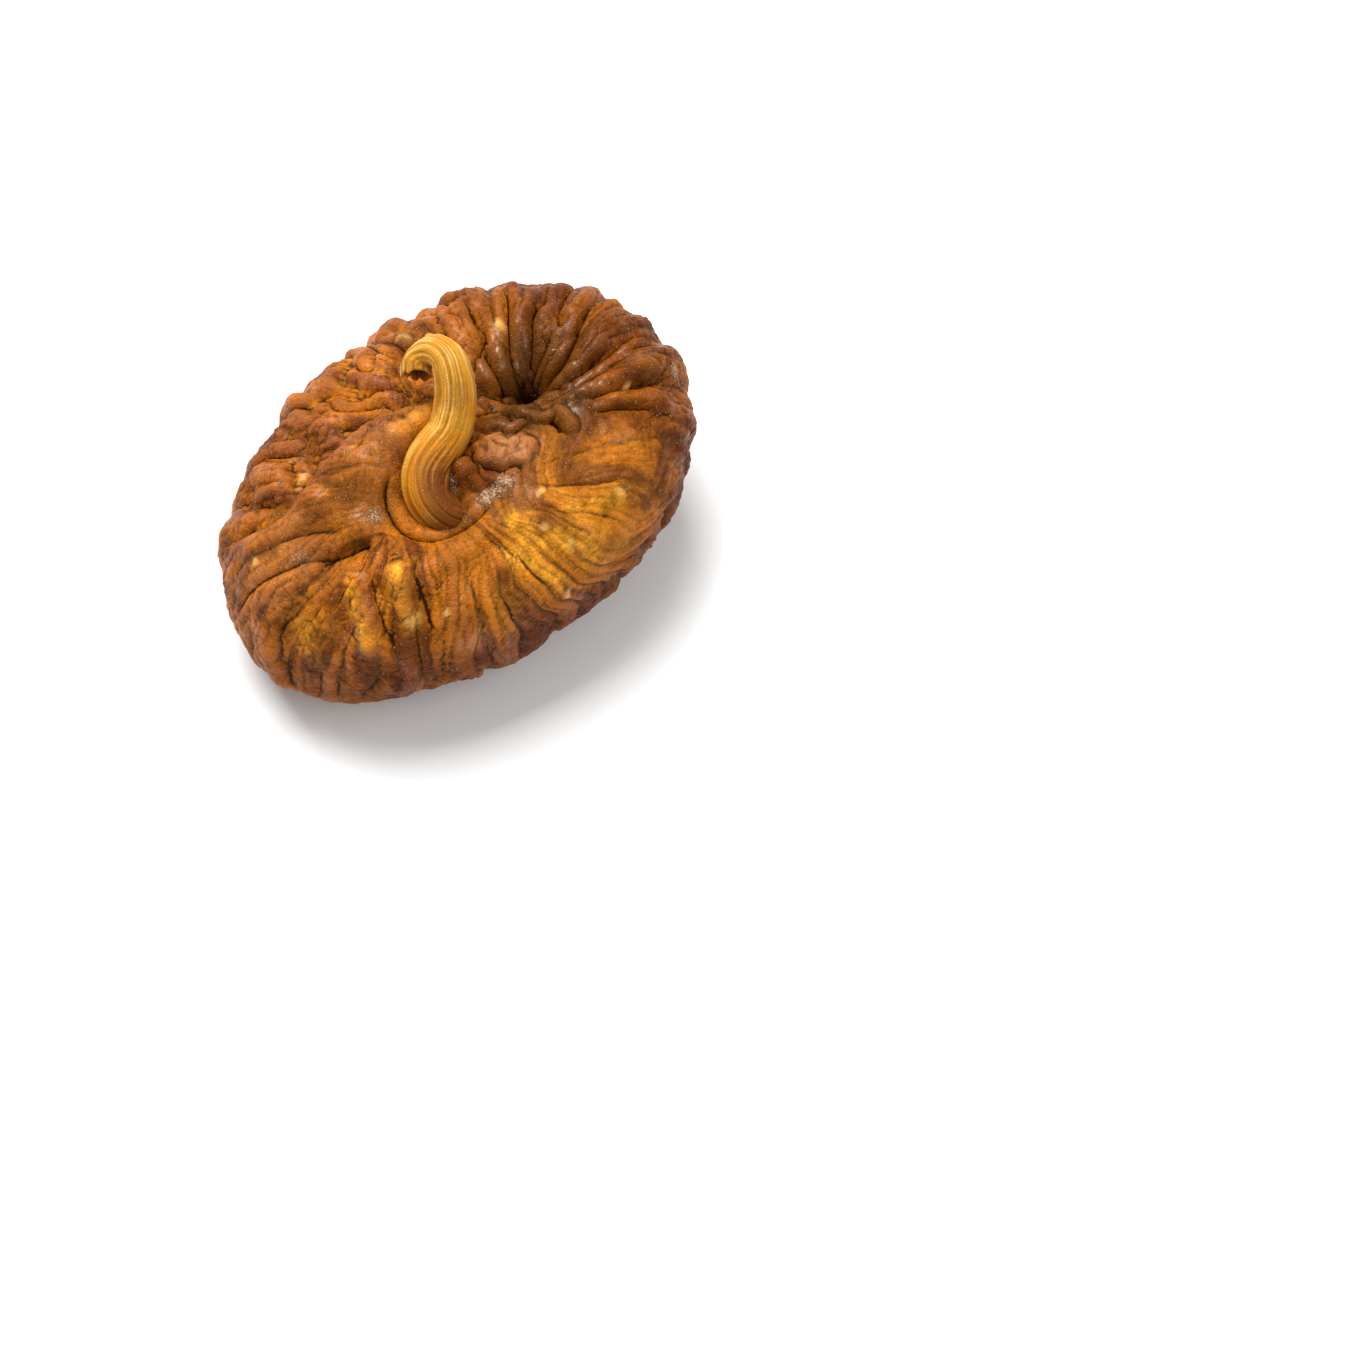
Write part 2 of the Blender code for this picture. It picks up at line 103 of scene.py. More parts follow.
def relaxed(values, edges, passes):
    # each value moves halfway to the mean of its neighbours
    shape = values.shape
    values = values.reshape(len(values), -1)
    count = np.bincount(edges.ravel(), minlength=len(values))
    for _ in range(passes):
        mean = np.stack([np.bincount(edges[:, 0], column[edges[:, 1]], len(values))
                         + np.bincount(edges[:, 1], column[edges[:, 0]], len(values))
                         for column in values.T], axis=-1) / count[:, None]
        values = (values + mean) / 2
    return values.reshape(shape)


def spline(points, steps):
    # smooth curve through the points, with as many steps from each to the next
    points = np.asarray(points, float)
    points = np.vstack([2 * points[0] - points[1], points, 2 * points[-1] - points[-2]])
    pieces = []
    for i in range(1, len(points) - 2):
        t = np.linspace(0, 1, steps, endpoint=i == len(points) - 3)[:, None]
        a, b, c, d = points[i - 1:i + 3]
        cubic = (2 * a - 5 * b + 4 * c - d) * t ** 2 + (3 * b - a - 3 * c + d) * t ** 3
        pieces.append(0.5 * (2 * b + (c - a) * t + cubic))
    return np.vstack(pieces)


def placePiece(name, bm, masks):
    triangles = sum(len(face.verts) - 2 for face in bm.faces)
    mesh = bpy.data.meshes.new(name)
    bm.to_mesh(mesh)
    bm.free()
    for label, values in masks.items():
        attribute = mesh.attributes.new(label, "FLOAT", "POINT")
        attribute.data.foreach_set("value", values.astype(np.float32))
    mesh.shade_smooth()
    piece = bpy.data.objects.new(name, mesh)
    bpy.context.collection.objects.link(piece)
    print(name, "made with", triangles, "triangles")
    return piece


# Node helpers, and the two effects that both pieces share. Scales are in swings for each metre

def newMaterial(name):
    material = bpy.data.materials.new(name)
    material.use_nodes = True
    tree = material.node_tree
    return material, tree, tree.nodes["Principled BSDF"]


def addNode(tree, kind, **settings):
    node = tree.nodes.new(kind)
    for name, value in settings.items():
        setattr(node, name, value)
    return node


def feed(tree, node, inputs):
    for name, value in inputs.items():
        socket = node.inputs[name]
        if isinstance(value, bpy.types.NodeSocket):
            tree.links.new(value, socket)
        else:
            socket.default_value = value
    return node


def mathNode(tree, operation, first, second=0.0):
    node = addNode(tree, "ShaderNodeMath", operation=operation)
    return feed(tree, node, {0: first, 1: second}).outputs[0]


def times(tree, first, second):
    return mathNode(tree, "MULTIPLY", first, second)


def plus(tree, first, second):
    return mathNode(tree, "ADD", first, second)


def mask(tree, name):
    return addNode(tree, "ShaderNodeAttribute", attribute_name=name).outputs["Fac"]


def mixTone(tree, share, first, second):
    node = addNode(tree, "ShaderNodeMix", data_type="RGBA")
    return feed(tree, node, {0: share, 6: first, 7: second}).outputs[2]  # the sockets that hold colours


def ramp(tree, value, low, high, start=0.0, end=1.0):
    node = addNode(tree, "ShaderNodeMapRange", interpolation_type="SMOOTHSTEP")
    return feed(tree, node, {0: value, 1: low, 2: high, 3: start, 4: end}).outputs[0]


def noiseNode(tree, place, scale, detail, roughness=0.55):
    node = addNode(tree, "ShaderNodeTexNoise")
    feed(tree, node, {"Vector": place, "Scale": scale, "Detail": detail, "Roughness": roughness})
    return node.outputs["Fac"]


def newGroup(name, inputs, outputs):
    tree = bpy.data.node_groups.new(name, "ShaderNodeTree")
    for label, kind, value in inputs:
        socket = tree.interface.new_socket(name=label, in_out="INPUT", socket_type=kind)
        if value is not None:
            socket.default_value = value
    for label, kind in outputs:
        tree.interface.new_socket(name=label, in_out="OUTPUT", socket_type=kind)
    return tree, tree.nodes.new("NodeGroupInput"), tree.nodes.new("NodeGroupOutput")


def placeGroup(tree, group, inputs):
    node = addNode(tree, "ShaderNodeGroup", node_tree=group)
    return feed(tree, node, inputs).outputs


def leatheryGrain():
    # fine creased grain: pebbles, hair wrinkles and dust-size pits
    tree, given, made = newGroup(
        "leatheryGrain",
        [("Vector", "NodeSocketVector", None), ("Size", "NodeSocketFloat", 900.0)],
        [("Height", "NodeSocketFloat"), ("Patch", "NodeSocketFloat"), ("Fine", "NodeSocketFloat")])
    place, size = given.outputs["Vector"], given.outputs["Size"]
    warp = (0.0009, 0.0009, 0.0009)  # m
    twist = addNode(tree, "ShaderNodeTexNoise")
    feed(tree, twist, {"Vector": place, "Scale": times(tree, size, 0.6), "Detail": 2.0})
    moved = addNode(tree, "ShaderNodeVectorMath", operation="MULTIPLY_ADD")
    feed(tree, moved, {0: twist.outputs["Color"], 1: warp, 2: place})
    pebble = addNode(tree, "ShaderNodeTexVoronoi", feature="DISTANCE_TO_EDGE")
    feed(tree, pebble, {"Vector": moved.outputs[0], "Scale": size})
    pebbled = ramp(tree, pebble.outputs["Distance"], 0.0, 0.35)
    wrinkle = noiseNode(tree, moved.outputs[0], times(tree, size, 1.4), 4.0, 0.6)
    folded = mathNode(tree, "ABSOLUTE", mathNode(tree, "SUBTRACT", wrinkle, 0.5))
    sand = noiseNode(tree, place, times(tree, size, 5.0), 2.0, 0.6)
    height = times(tree, pebbled, 0.06)
    height = plus(tree, height, times(tree, folded, 0.6))
    height = plus(tree, height, times(tree, sand, 0.7))
    patch = noiseNode(tree, place, times(tree, size, 0.33), 4.0, 0.6)
    feed(tree, made, {"Height": height, "Patch": patch, "Fine": sand})
    return tree


def sugarSpecks():
    # pale crystals: scattered points, and a crust where the bloom mask asks for it
    tree, given, made = newGroup(
        "sugarSpecks",
        [("Vector", "NodeSocketVector", None), ("Bloom", "NodeSocketFloat", 0.0),
         ("Amount", "NodeSocketFloat", 0.5)],
        [("Specks", "NodeSocketFloat"), ("Crust", "NodeSocketFloat"), ("Height", "NodeSocketFloat")])
    place = given.outputs["Vector"]
    cells = addNode(tree, "ShaderNodeTexVoronoi", feature="F1")
    feed(tree, cells, {"Vector": place, "Scale": 3300.0, "Randomness": 1.0})
    dots = ramp(tree, cells.outputs["Distance"], 0.34, 0.12)
    pick = addNode(tree, "ShaderNodeSeparateColor")
    feed(tree, pick, {0: cells.outputs["Color"]})
    wanted = mathNode(tree, "SUBTRACT", 1.0, times(tree, given.outputs["Amount"], 0.35))
    wanted = mathNode(tree, "SUBTRACT", wanted, times(tree, given.outputs["Bloom"], 0.35))
    few = mathNode(tree, "GREATER_THAN", pick.outputs[0], wanted)
    thick = ramp(tree, noiseNode(tree, place, 260.0, 2.0), 0.35, 0.65, 0.35, 1.0)
    few = times(tree, few, thick)
    specks = times(tree, dots, few)
    grains = noiseNode(tree, place, 5200.0, 3.0, 0.75)
    level = plus(tree, times(tree, given.outputs["Bloom"], 0.4), grains)
    crust = ramp(tree, level, 0.78, 0.92)
    height = plus(tree, specks, times(tree, crust, 0.7))
    feed(tree, made, {"Specks": specks, "Crust": crust, "Height": height})
    return tree


grain, specks = leatheryGrain(), sugarSpecks()
print("grain and sugar made")


# Skin. Bearing is the angle about the crown, and reach runs from 0 there past 1 at the rim to 2 underneath

skinSet = {
    "halfLength": 23.9, "halfWidth": 16.9, "crownHeight": 11.6, "baseDepth": 11.0,
    "squareness": 2.5, "lean": 0.266, "sideLean": 0.01,
    "swellings": ((2, 0.007, 10), (3, 0.011, -52), (4, 0.013, 45), (5, 0.004, 0)),
    "basinDepth": 2.0, "basinReach": 0.38,
    "dimple": (23, 0.225), "dimpleDepth": 2.9, "dimpleRadius": 2.2, "pit": (205, 0.38), "foot": (232, 0.3),
    "restRadius": 6.0, "restCut": 0.4,
    "eye": (16, 1.6), "eyeDepth": 1.8, "eyeRadius": 2.0,
    "pleatCount": 5.2, "pleatHeight": 1.7, "ribCount": 36, "ribHeight": 0.22, "ribWander": 1.3,
    "pleatRun": 13,
    "finePleats": ((11, 8, 2, 0.6), (22, 6, 3, 0.34), (44, 4, 4, 0.2)),  # count, run, seed, height
    "lumpHeight": 2.6, "lumpCount": 3.6, "lumpRun": 6, "lobeHeight": 0.35,
    "underCount": 4.5, "underHeight": 1.6, "underRun": 16,
    "planLength": 23.5, "planWidth": 16.8, "planRise": 0.55,
    "swell": 0.3, "rows": 128, "crownShare": 0.3, "easeStart": 0.97, "easeRun": 0.03, "boxMargin": 0.02,
    "wartHeight": 0.16,
    # a place is a bearing, a reach and a radius in mm, and a spot has its share after them
    "lumpyPlaces": ((125, 0.55, 7), (148, 0.58, 4.5), (100, 0.62, 6.5), (75, 0.72, 5)),
    "broadPlaces": ((275, 0.52, 8.5), (300, 0.55, 6), (250, 0.5, 4)),
    "warts": ((269, 0.472, 0.4), (274, 0.589, 0.5), (294, 0.556, 0.5), (274, 0.353, 0.35), (271, 0.83, 0.4),
              (238, 0.643, 0.35), (150, 0.493, 0.45), (89, 0.472, 0.45), (342, 0.643, 0.5), (335, 0.415, 0.5),
              (55, 0.389, 0.5), (82, 0.42, 0.5), (175, 0.66, 0.4), (229, 0.65, 0.7)),
    "goldSpots": ((275, 0.54, 1.7, 0.8), (204, 0.75, 1.8, 0.4), (283, 0.63, 1.3, 0.5), (279, 0.70, 1.2, 0.6),
                  (288, 0.79, 1.3, 0.4), (229, 0.65, 1.0, 1.0), (55, 0.39, 0.8, 0.6), (294, 0.56, 0.8, 0.8),
                  (262, 0.42, 1.4, 0.6), (284, 0.99, 1.4, 0.4), (340, 0.5, 1.6, 0.5), (120, 0.62, 1.2, 0.15),
                  (255, 0.7, 1.6, 0.4)),
    # a strip is its path, its half width in mm and its share
    "goldStrips": (
        (((205, 0.5), (207, 0.556), (214, 0.634), (219, 0.726), (223, 0.82)), 0.65, 1.0),
        (((217, 0.43), (219, 0.485), (224, 0.561), (229, 0.68)), 0.65, 1.0),
        (((112, 0.14), (138, 0.167), (158, 0.23)), 1.2, 0.7),
        (((256, 0.38), (262, 0.415), (269, 0.45)), 0.9, 0.9),
        (((252, 0.44), (255, 0.487), (264, 0.616), (272, 0.83)), 0.8, 1.0),
        (((257, 0.43), (264, 0.492), (277, 0.623), (284, 0.72)), 0.9, 0.8),
        (((195, 0.7), (205, 0.86), (212, 1.05)), 0.8, 0.6),
        (((272, 0.4), (284, 0.5), (297, 0.66)), 0.9, 0.5)),
    "oliveSpots": ((30, 0.22, 4.2, 0.9), (15, 0.32, 4.0, 0.8), (44, 0.32, 3.0, 0.5), (345, 0.26, 3.0, 0.7),
                   (325, 0.24, 2.6, 0.6), (335, 0.1, 2.6, 0.8), (190, 0.33, 2.0, 0.5)),
    "bloomSpots": ((262, 0.255, 1.5, 1.0), (250, 0.28, 1.2, 0.9), (240, 0.32, 1.4, 0.6),
                   (223, 0.24, 1.5, 0.8), (278, 0.15, 1.2, 0.45), (222, 0.19, 1.2, 0.6),
                   (194, 0.354, 1.3, 0.9), (185, 0.55, 1.6, 0.8), (10, 0.72, 3, 0.3), (110, 0.4, 3, 0.35),
                   (342, 0.643, 1.6, 0.9), (175, 0.8, 3, 0.4)),
    "shadeSpots": ((23, 0.225, 1.8, 1.0), (66, 0.2, 1.8, 0.8), (200, 0.42, 1.1, 0.8), (236, 0.3, 2.0, 0.6),
                   (344, 0.27, 1.2, 0.6), (0, 0.1, 1.6, 0.7), (328, 0.15, 1.5, 0.5), (315, 0.07, 1.4, 0.4),
                   (35, 0.29, 2.2, 0.4)),
    "dustSpots": ((268, 0.14, 1.5, 0.9), (280, 0.18, 1.5, 0.9), (150, 0.25, 3, 0.2), (268, 0.33, 1.6, 0.5),
                  (185, 0.6, 3, 0.4)),
    "glossSpots": ((30, 0.25, 4.5, 1.0), (345, 0.25, 3.5, 0.8), (55, 0.25, 3.0, 0.8), (25, 0.42, 2.5, 0.9)),
    # the low spots are painted shade
    "lowSpots": ((345, 0.45, 7, 0.9), (30, 0.6, 8, 0.6), (320, 0.75, 6, 0.6), (60, 0.5, 5, 0.5),
                 (238, 0.16, 1.8, 0.9), (250, 0.22, 1.2, 0.6), (262, 0.2, 1.2, 0.4), (228, 0.15, 1.4, 0.7),
                 (246, 0.2, 1.6, 0.6)),
    "dusty": tone(130, 74, 34), "brown": tone(100, 48, 8), "orange": tone(160, 90, 12),
    "gold": tone(208, 140, 34), "amber": tone(164, 98, 14), "deep": tone(62, 22, 4),
    "slope": tone(124, 70, 13), "olive": tone(88, 56, 16), "dark": tone(26, 10, 3), "dim": tone(74, 30, 3),
    "pale": tone(168, 112, 66), "sugar": tone(206, 178, 146), "wart": tone(206, 166, 92),
    "grainSize": 900.0, "specular": 0.06, "coatRoughness": 0.22, "translucence": 0.3,
    "glowRadius": (1.0, 0.36, 0.08), "glowDepth": 0.0012, "bumpHeight": 0.00022,
}


def rounded(angle):
    s, c = np.sin(angle), np.cos(angle)
    power = skinSet["squareness"]
    size = (np.abs(s) ** power + np.abs(c) ** power) ** (-1 / power)
    return size * s, size * c


def plainSkin(turn, reach):
    out, rise = rounded(reach * np.pi / 2)
    z = np.where(rise > 0, skinSet["crownHeight"], skinSet["baseDepth"]) * rise
    swell = sum(share * np.cos(count * (turn - np.radians(at))) for count, share, at in skinSet["swellings"])
    out = out * (1 + swell * np.clip(out, 0, 1))
    x = skinSet["halfLength"] * out * np.cos(turn) + skinSet["lean"] * z
    y = skinSet["halfWidth"] * out * np.sin(turn) + skinSet["sideLean"] * z
    return np.stack([x, y, z + skinSet["baseDepth"]], axis=-1)


def unrolled(bearing, reach):
    # flat plan of the skin, where distance from the crown is measured along the skin
    angle = np.linspace(0, np.pi, 400)
    out, rise = rounded(angle)
    run = np.hypot(np.diff(out), skinSet["planRise"] * np.diff(rise))
    run = np.interp(reach, angle * 2 / np.pi, np.concatenate([[0], np.cumsum(run)]))
    turn = np.radians(bearing)
    x = skinSet["planLength"] * run * np.cos(turn)
    y = skinSet["planWidth"] * run * np.sin(turn)
    return np.stack(np.broadcast_arrays(x, y), axis=-1)


def line(start, end, bow=0.0, sway=0.0):
    first, last = unrolled(*start), unrolled(*end)
    along = last - first
    across = np.array([-along[1], along[0]])
    t = np.linspace(0, 1, 24)[:, None]
    return first + along * t + across * (bow * 4 * t * (1 - t) + sway * np.sin(2 * np.pi * t))


def bend(*places):
    return spline([unrolled(*place) for place in places], 12)


def alongLine(plan, path, start, end):
    # distance from the path, signed by side, and a fade over the given shares at its start and end
    nearest, side, share = np.full(len(plan), np.inf), np.ones(len(plan)), np.zeros(len(plan))
    legs = np.diff(path, axis=0)
    lengths = np.hypot(*legs.T)
    run = np.concatenate([[0], np.cumsum(lengths)])
    for i, leg in enumerate(legs):
        offset = plan - path[i]
        t = np.clip(offset @ leg / lengths[i] ** 2, 0, 1)
        gap = np.hypot(*(offset - t[:, None] * leg).T)
        closer = gap < nearest
        nearest[closer] = gap[closer]
        side[closer] = np.sign(leg[0] * offset[closer, 1] - leg[1] * offset[closer, 0])
        share[closer] = (run[i] + t[closer] * lengths[i]) / run[-1]
    fade = smoothStep(share, 0, start) if start else 1.0
    fade = fade * smoothStep(1 - share, 0, end) if end else fade
    return nearest * side, fade


def ridge(plan, path, height, width, start=0.15, end=0.3):
    gap, fade = alongLine(plan, path, start, end)
    return height * np.exp(-(gap / width) ** 2) * fade


def crease(plan, path, depth, width, start=0.15, end=0.3):
    gap, fade = alongLine(plan, path, start, end)
    return -depth * np.exp(-(np.abs(gap) / width) ** 1.2) * fade


def lip(plan, path, height, run, drop, back, edge):
    # the skin left of the path stands up and the skin right of it drops
    gap, fade = alongLine(plan, path, 0.12, 0.2)
    up = height * np.exp(-np.clip(gap, 0, None) / run)
    down = -drop * np.exp(np.clip(gap, None, 0) / back)
    side = 0.5 + 0.5 * np.tanh(gap / edge)
    return (up * side + down * (1 - side)) * fade


def mound(plan, place, radius, power=2):
    gap = np.hypot(*(plan - unrolled(*place)).T)
    return np.exp(-(gap / radius) ** power)


def roll(plan, path, height, radius, edge=0.3):
    # a lobe that lies along the path
    gap = np.abs(alongLine(plan, path, 0, 0)[0])
    return height * (0.5 - 0.5 * np.tanh((gap - radius) / edge))


def uneven(plan, amount, size, seed):
    # the plan with its places shifted a little, so that forms drawn in it lose their smooth edges
    place = np.column_stack([plan / size, np.zeros(len(plan))])
    return plan + amount * np.stack([noiseField(place, seed), noiseField(place + 50, seed)], axis=-1)


def folds(plan):
    dimple = skinSet["dimple"]
    h = -skinSet["dimpleDepth"] * mound(plan, dimple, skinSet["dimpleRadius"], 1.6)
    h -= 2.0 * mound(plan, dimple, 5.5)
    h += ridge(plan, line(dimple, (112, 0.17), 0.1), -2.4, 1.8, 0, 0.3)
    # shoulder: a long soft roll whose far edge stands over the back
    h += ridge(plan, line((150, 0.16), (167, 0.95), 0.08, -0.04), 1.5, 3.4, 0.1, 0.3)
    edge = bend((104, 0.17), (131, 0.29), (155, 0.42), (167, 0.5), (166, 0.62), (157, 0.9))
    h += lip(plan, edge, 0.8, 2.8, 2.1, 2.4, edge=0.3)
    # trench for the neck, the crease outside it and the roll of skin round both
    trench = bend((243, 0.26), (226, 0.28), (212, 0.26), (195, 0.21), (150, 0.12))
    h += ridge(plan, trench, -2.2, 2.3, 0.2, 0.4)
    rim = bend((168, 0.24), (188, 0.3), (204, 0.345), (218, 0.375), (231, 0.38), (244, 0.35), (256, 0.29))
    h += crease(plan, rim, 1.5, 0.42, 0.3, 0.3)
    h += ridge(plan, line((180, 0.345), (252, 0.39), -0.45, -0.06), 0.7, 1.2, 0.2, 0.25)
    # knob beside the stalk, its pale crest, and the folds that curl under it
    torn = uneven(plan, 0.75, 1.7, 51)
    h += roll(torn, bend((254, 0.112), (270, 0.145), (283, 0.185)), 1.2, 1.2, 0.4)
    h += ridge(torn, bend((250, 0.07), (277, 0.1), (288, 0.165)), 0.5, 0.4, 0.15, 0.15)
    h += crease(torn, bend((236, 0.11), (250, 0.17), (264, 0.205), (278, 0.225)), 1.1, 0.4, 0.2, 0.2)
    h += ridge(torn, bend((226, 0.11), (234, 0.17), (246, 0.25)), 1.0, 0.45, 0.2, 0.3)
    h += crease(torn, bend((232, 0.09), (240, 0.16), (252, 0.235)), 0.8, 0.3, 0.2, 0.2)
    h += ridge(torn, bend((241, 0.15), (253, 0.21), (266, 0.25)), 0.6, 0.5, 0.2, 0.3)
    crumpled = billow(np.column_stack([torn / 1.5, np.zeros(len(plan))]), 52, 0.8, 0.01)
    near = np.clip(mound(plan, (248, 0.17), 4.0, 4) + mound(plan, dimple, 5.5, 4), 0, 1)
    h += 0.9 * (crumpled - 0.3) * near
    # crumpled lumps between knob and dimple
    h += roll(torn, bend((75, 0.1), (50, 0.12), (10, 0.115), (345, 0.135)), 0.9, 0.45)
    h += roll(torn, bend((330, 0.02), (318, 0.06), (314, 0.11)), 0.8, 0.6)
    h += roll(torn, bend((335, 0.13), (328, 0.16), (326, 0.19)), 0.9, 0.45)
    h += crease(torn, bend((20, 0.07), (350, 0.08), (334, 0.1), (324, 0.14)), 1.0, 0.35, 0.1, 0.2)
    # web of skin that climbs the neck, and the crown beside the neck's foot
    h += ridge(plan, bend((105, 0.13), (138, 0.165), (154, 0.212), (164, 0.26)), 1.7, 1.3, 0, 0.5)
    h += 0.9 * mound(torn, (240, 0.19), 1.6) + 0.6 * mound(torn, (228, 0.16), 1.2)
    # pit, and the folds that leave it toward the left
    h += crease(plan, line((205, 0.41), (190, 0.56)), 1.3, 0.8)
    h += lip(plan, line((204, 1.3), (200, 0.46), 0.21), 0.7, 2.6, 0.5, 1.5, edge=0.6)
    h += crease(plan, line((198, 0.46), (173, 1.1), -0.03), 0.8, 0.6)
    h += crease(plan, line((190, 0.42), (166, 0.9), 0, -0.02), 0.6, 0.6)
    h += ridge(plan, line((205, 0.49), (223, 0.86), 0.03), 0.9, 1.1)
    h += ridge(plan, line((217, 0.44), (227, 0.64)), 0.9, 1.0)
    h += crease(plan, line((219, 0.44), (238, 0.82), 0.03), 0.7, 0.6)
    h += crease(plan, line((208, 0.48), (228, 0.8), -0.05), 0.6, 0.6)
    # broad lobes on the right, parted by shallow lines
    h += crease(plan, line((266, 0.27), (302, 0.8), 0, -0.03), 0.3, 0.6)
    h += crease(plan, line((256, 0.33), (292, 0.8), 0, -0.02), 0.25, 0.6)
    h += crease(plan, line((246, 0.4), (267, 0.85), 0.03), 0.25, 0.6)
    h += crease(plan, line((280, 0.26), (320, 0.75)), 0.3, 0.6)
    # two finger-like folds left of the dimple
    h += ridge(plan, bend((72, 0.28), (63, 0.22), (48, 0.16)), 1.4, 0.85, 0.2, 0.2)
    h += ridge(plan, bend((54, 0.32), (50, 0.25), (37, 0.19)), 1.5, 0.8, 0.2, 0.2)
    h += crease(plan, bend((61, 0.3), (56, 0.23), (40, 0.17)), 1.4, 0.35, 0.2, 0.1)
    h += crease(plan, bend((66, 0.56), (65, 0.44), (61, 0.36), (66, 0.26), (66, 0.19)), 1.4, 0.4, 0.2, 0.1)
    # wandering creases between the pads above the dimple
    h += crease(plan, bend((53, 0.6), (52, 0.45), (51, 0.39), (48, 0.3), (42, 0.24)), 1.4, 0.36, 0.3, 0.1)
    h += crease(plan, bend((41, 0.62), (40, 0.5), (42, 0.44), (37, 0.34), (33, 0.27)), 1.2, 0.36, 0.3, 0.1)
    h += crease(plan, bend((35, 0.64), (31, 0.44), (25, 0.385)), 1.3, 0.36, 0.3, 0.2)
    h += crease(plan, bend((29, 0.37), (28, 0.31), (30, 0.26)), 1.1, 0.34, 0.2, 0.1)
    h += crease(plan, bend((24, 0.56), (16, 0.37), (10, 0.3), (12, 0.24)), 1.2, 0.36, 0.3, 0.1)
    h += crease(plan, bend((19, 0.44), (13, 0.33), (13, 0.26)), 1.1, 0.34, 0.2, 0.1)
    h += ridge(plan, bend((18, 0.42), (17, 0.33), (18, 0.25)), 0.8, 0.4, 0.2, 0.2)
    h += ridge(plan, bend((5, 0.45), (1, 0.33), (6, 0.25)), 0.8, 0.5, 0.3, 0.2)
    h += crease(plan, bend((2, 0.6), (357, 0.42), (355, 0.3), (2, 0.22)), 1.1, 0.4, 0.3, 0.1)
    # folds right of the dimple
    h += crease(plan, bend((352, 0.5), (348, 0.37), (344, 0.27), (350, 0.19)), 1.6, 0.45, 0.3, 0.1)
    h += ridge(plan, bend((345, 0.62), (340, 0.38), (342, 0.25), (350, 0.18)), 1.2, 0.8, 0.3, 0.2)
    h += crease(plan, bend((336, 0.55), (334, 0.4), (333, 0.28)), 1.0, 0.4, 0.3, 0.3)
    h += ridge(plan, bend((330, 0.62), (330, 0.44), (328, 0.31)), 0.7, 0.7, 0.3, 0.3)
    h += crease(plan, bend((325, 0.55), (325, 0.42), (322, 0.3)), 0.9, 0.4, 0.3, 0.3)
    h += ridge(plan, bend((334, 0.2), (325, 0.23), (314, 0.27), (308, 0.27)), 1.1, 0.5, 0.2, 0.2)
    h += crease(plan, bend((324, 0.19), (313, 0.235), (306, 0.25)), 1.1, 0.35, 0.2, 0.2)
    for bearing, reach, radius in skinSet["warts"]:
        h += skinSet["wartHeight"] * mound(plan, (bearing, reach), radius)
    return h


def zones(plan, reach):
    # the underside, the pads at the back, the lobes on the right and the smooth skin of shoulder and neck
    lumpy, broad = (np.clip(sum(mound(plan, (b, r), size) for b, r, size in skinSet[places]), 0, 1)
                    for places in ("lumpyPlaces", "broadPlaces"))
    calm = ridge(plan, line((150, 0.12), (170, 0.8), 0.08), 1, 3.6, 0, 0.3)
    eased = mound(plan, (230, 0.2), 5) - 0.6 * mound(plan, (262, 0.17), 3.4, 4)
    calm = np.clip(calm + (eased + 0.6 * mound(plan, (303, 0.25), 3.5)), 0, 1)
    side = 1 - smoothStep(reach, 0.8, 1.05)
    return smoothStep(reach, 1.05, 1.35), lumpy * side, broad * side, calm * side


def ribs(turn, drift):
    wave = np.sin(skinSet["ribCount"] / 2 * turn + skinSet["ribWander"] * drift)
    return skinSet["ribHeight"] * ((wave ** 2 + 0.004) ** 0.45 - 0.66)


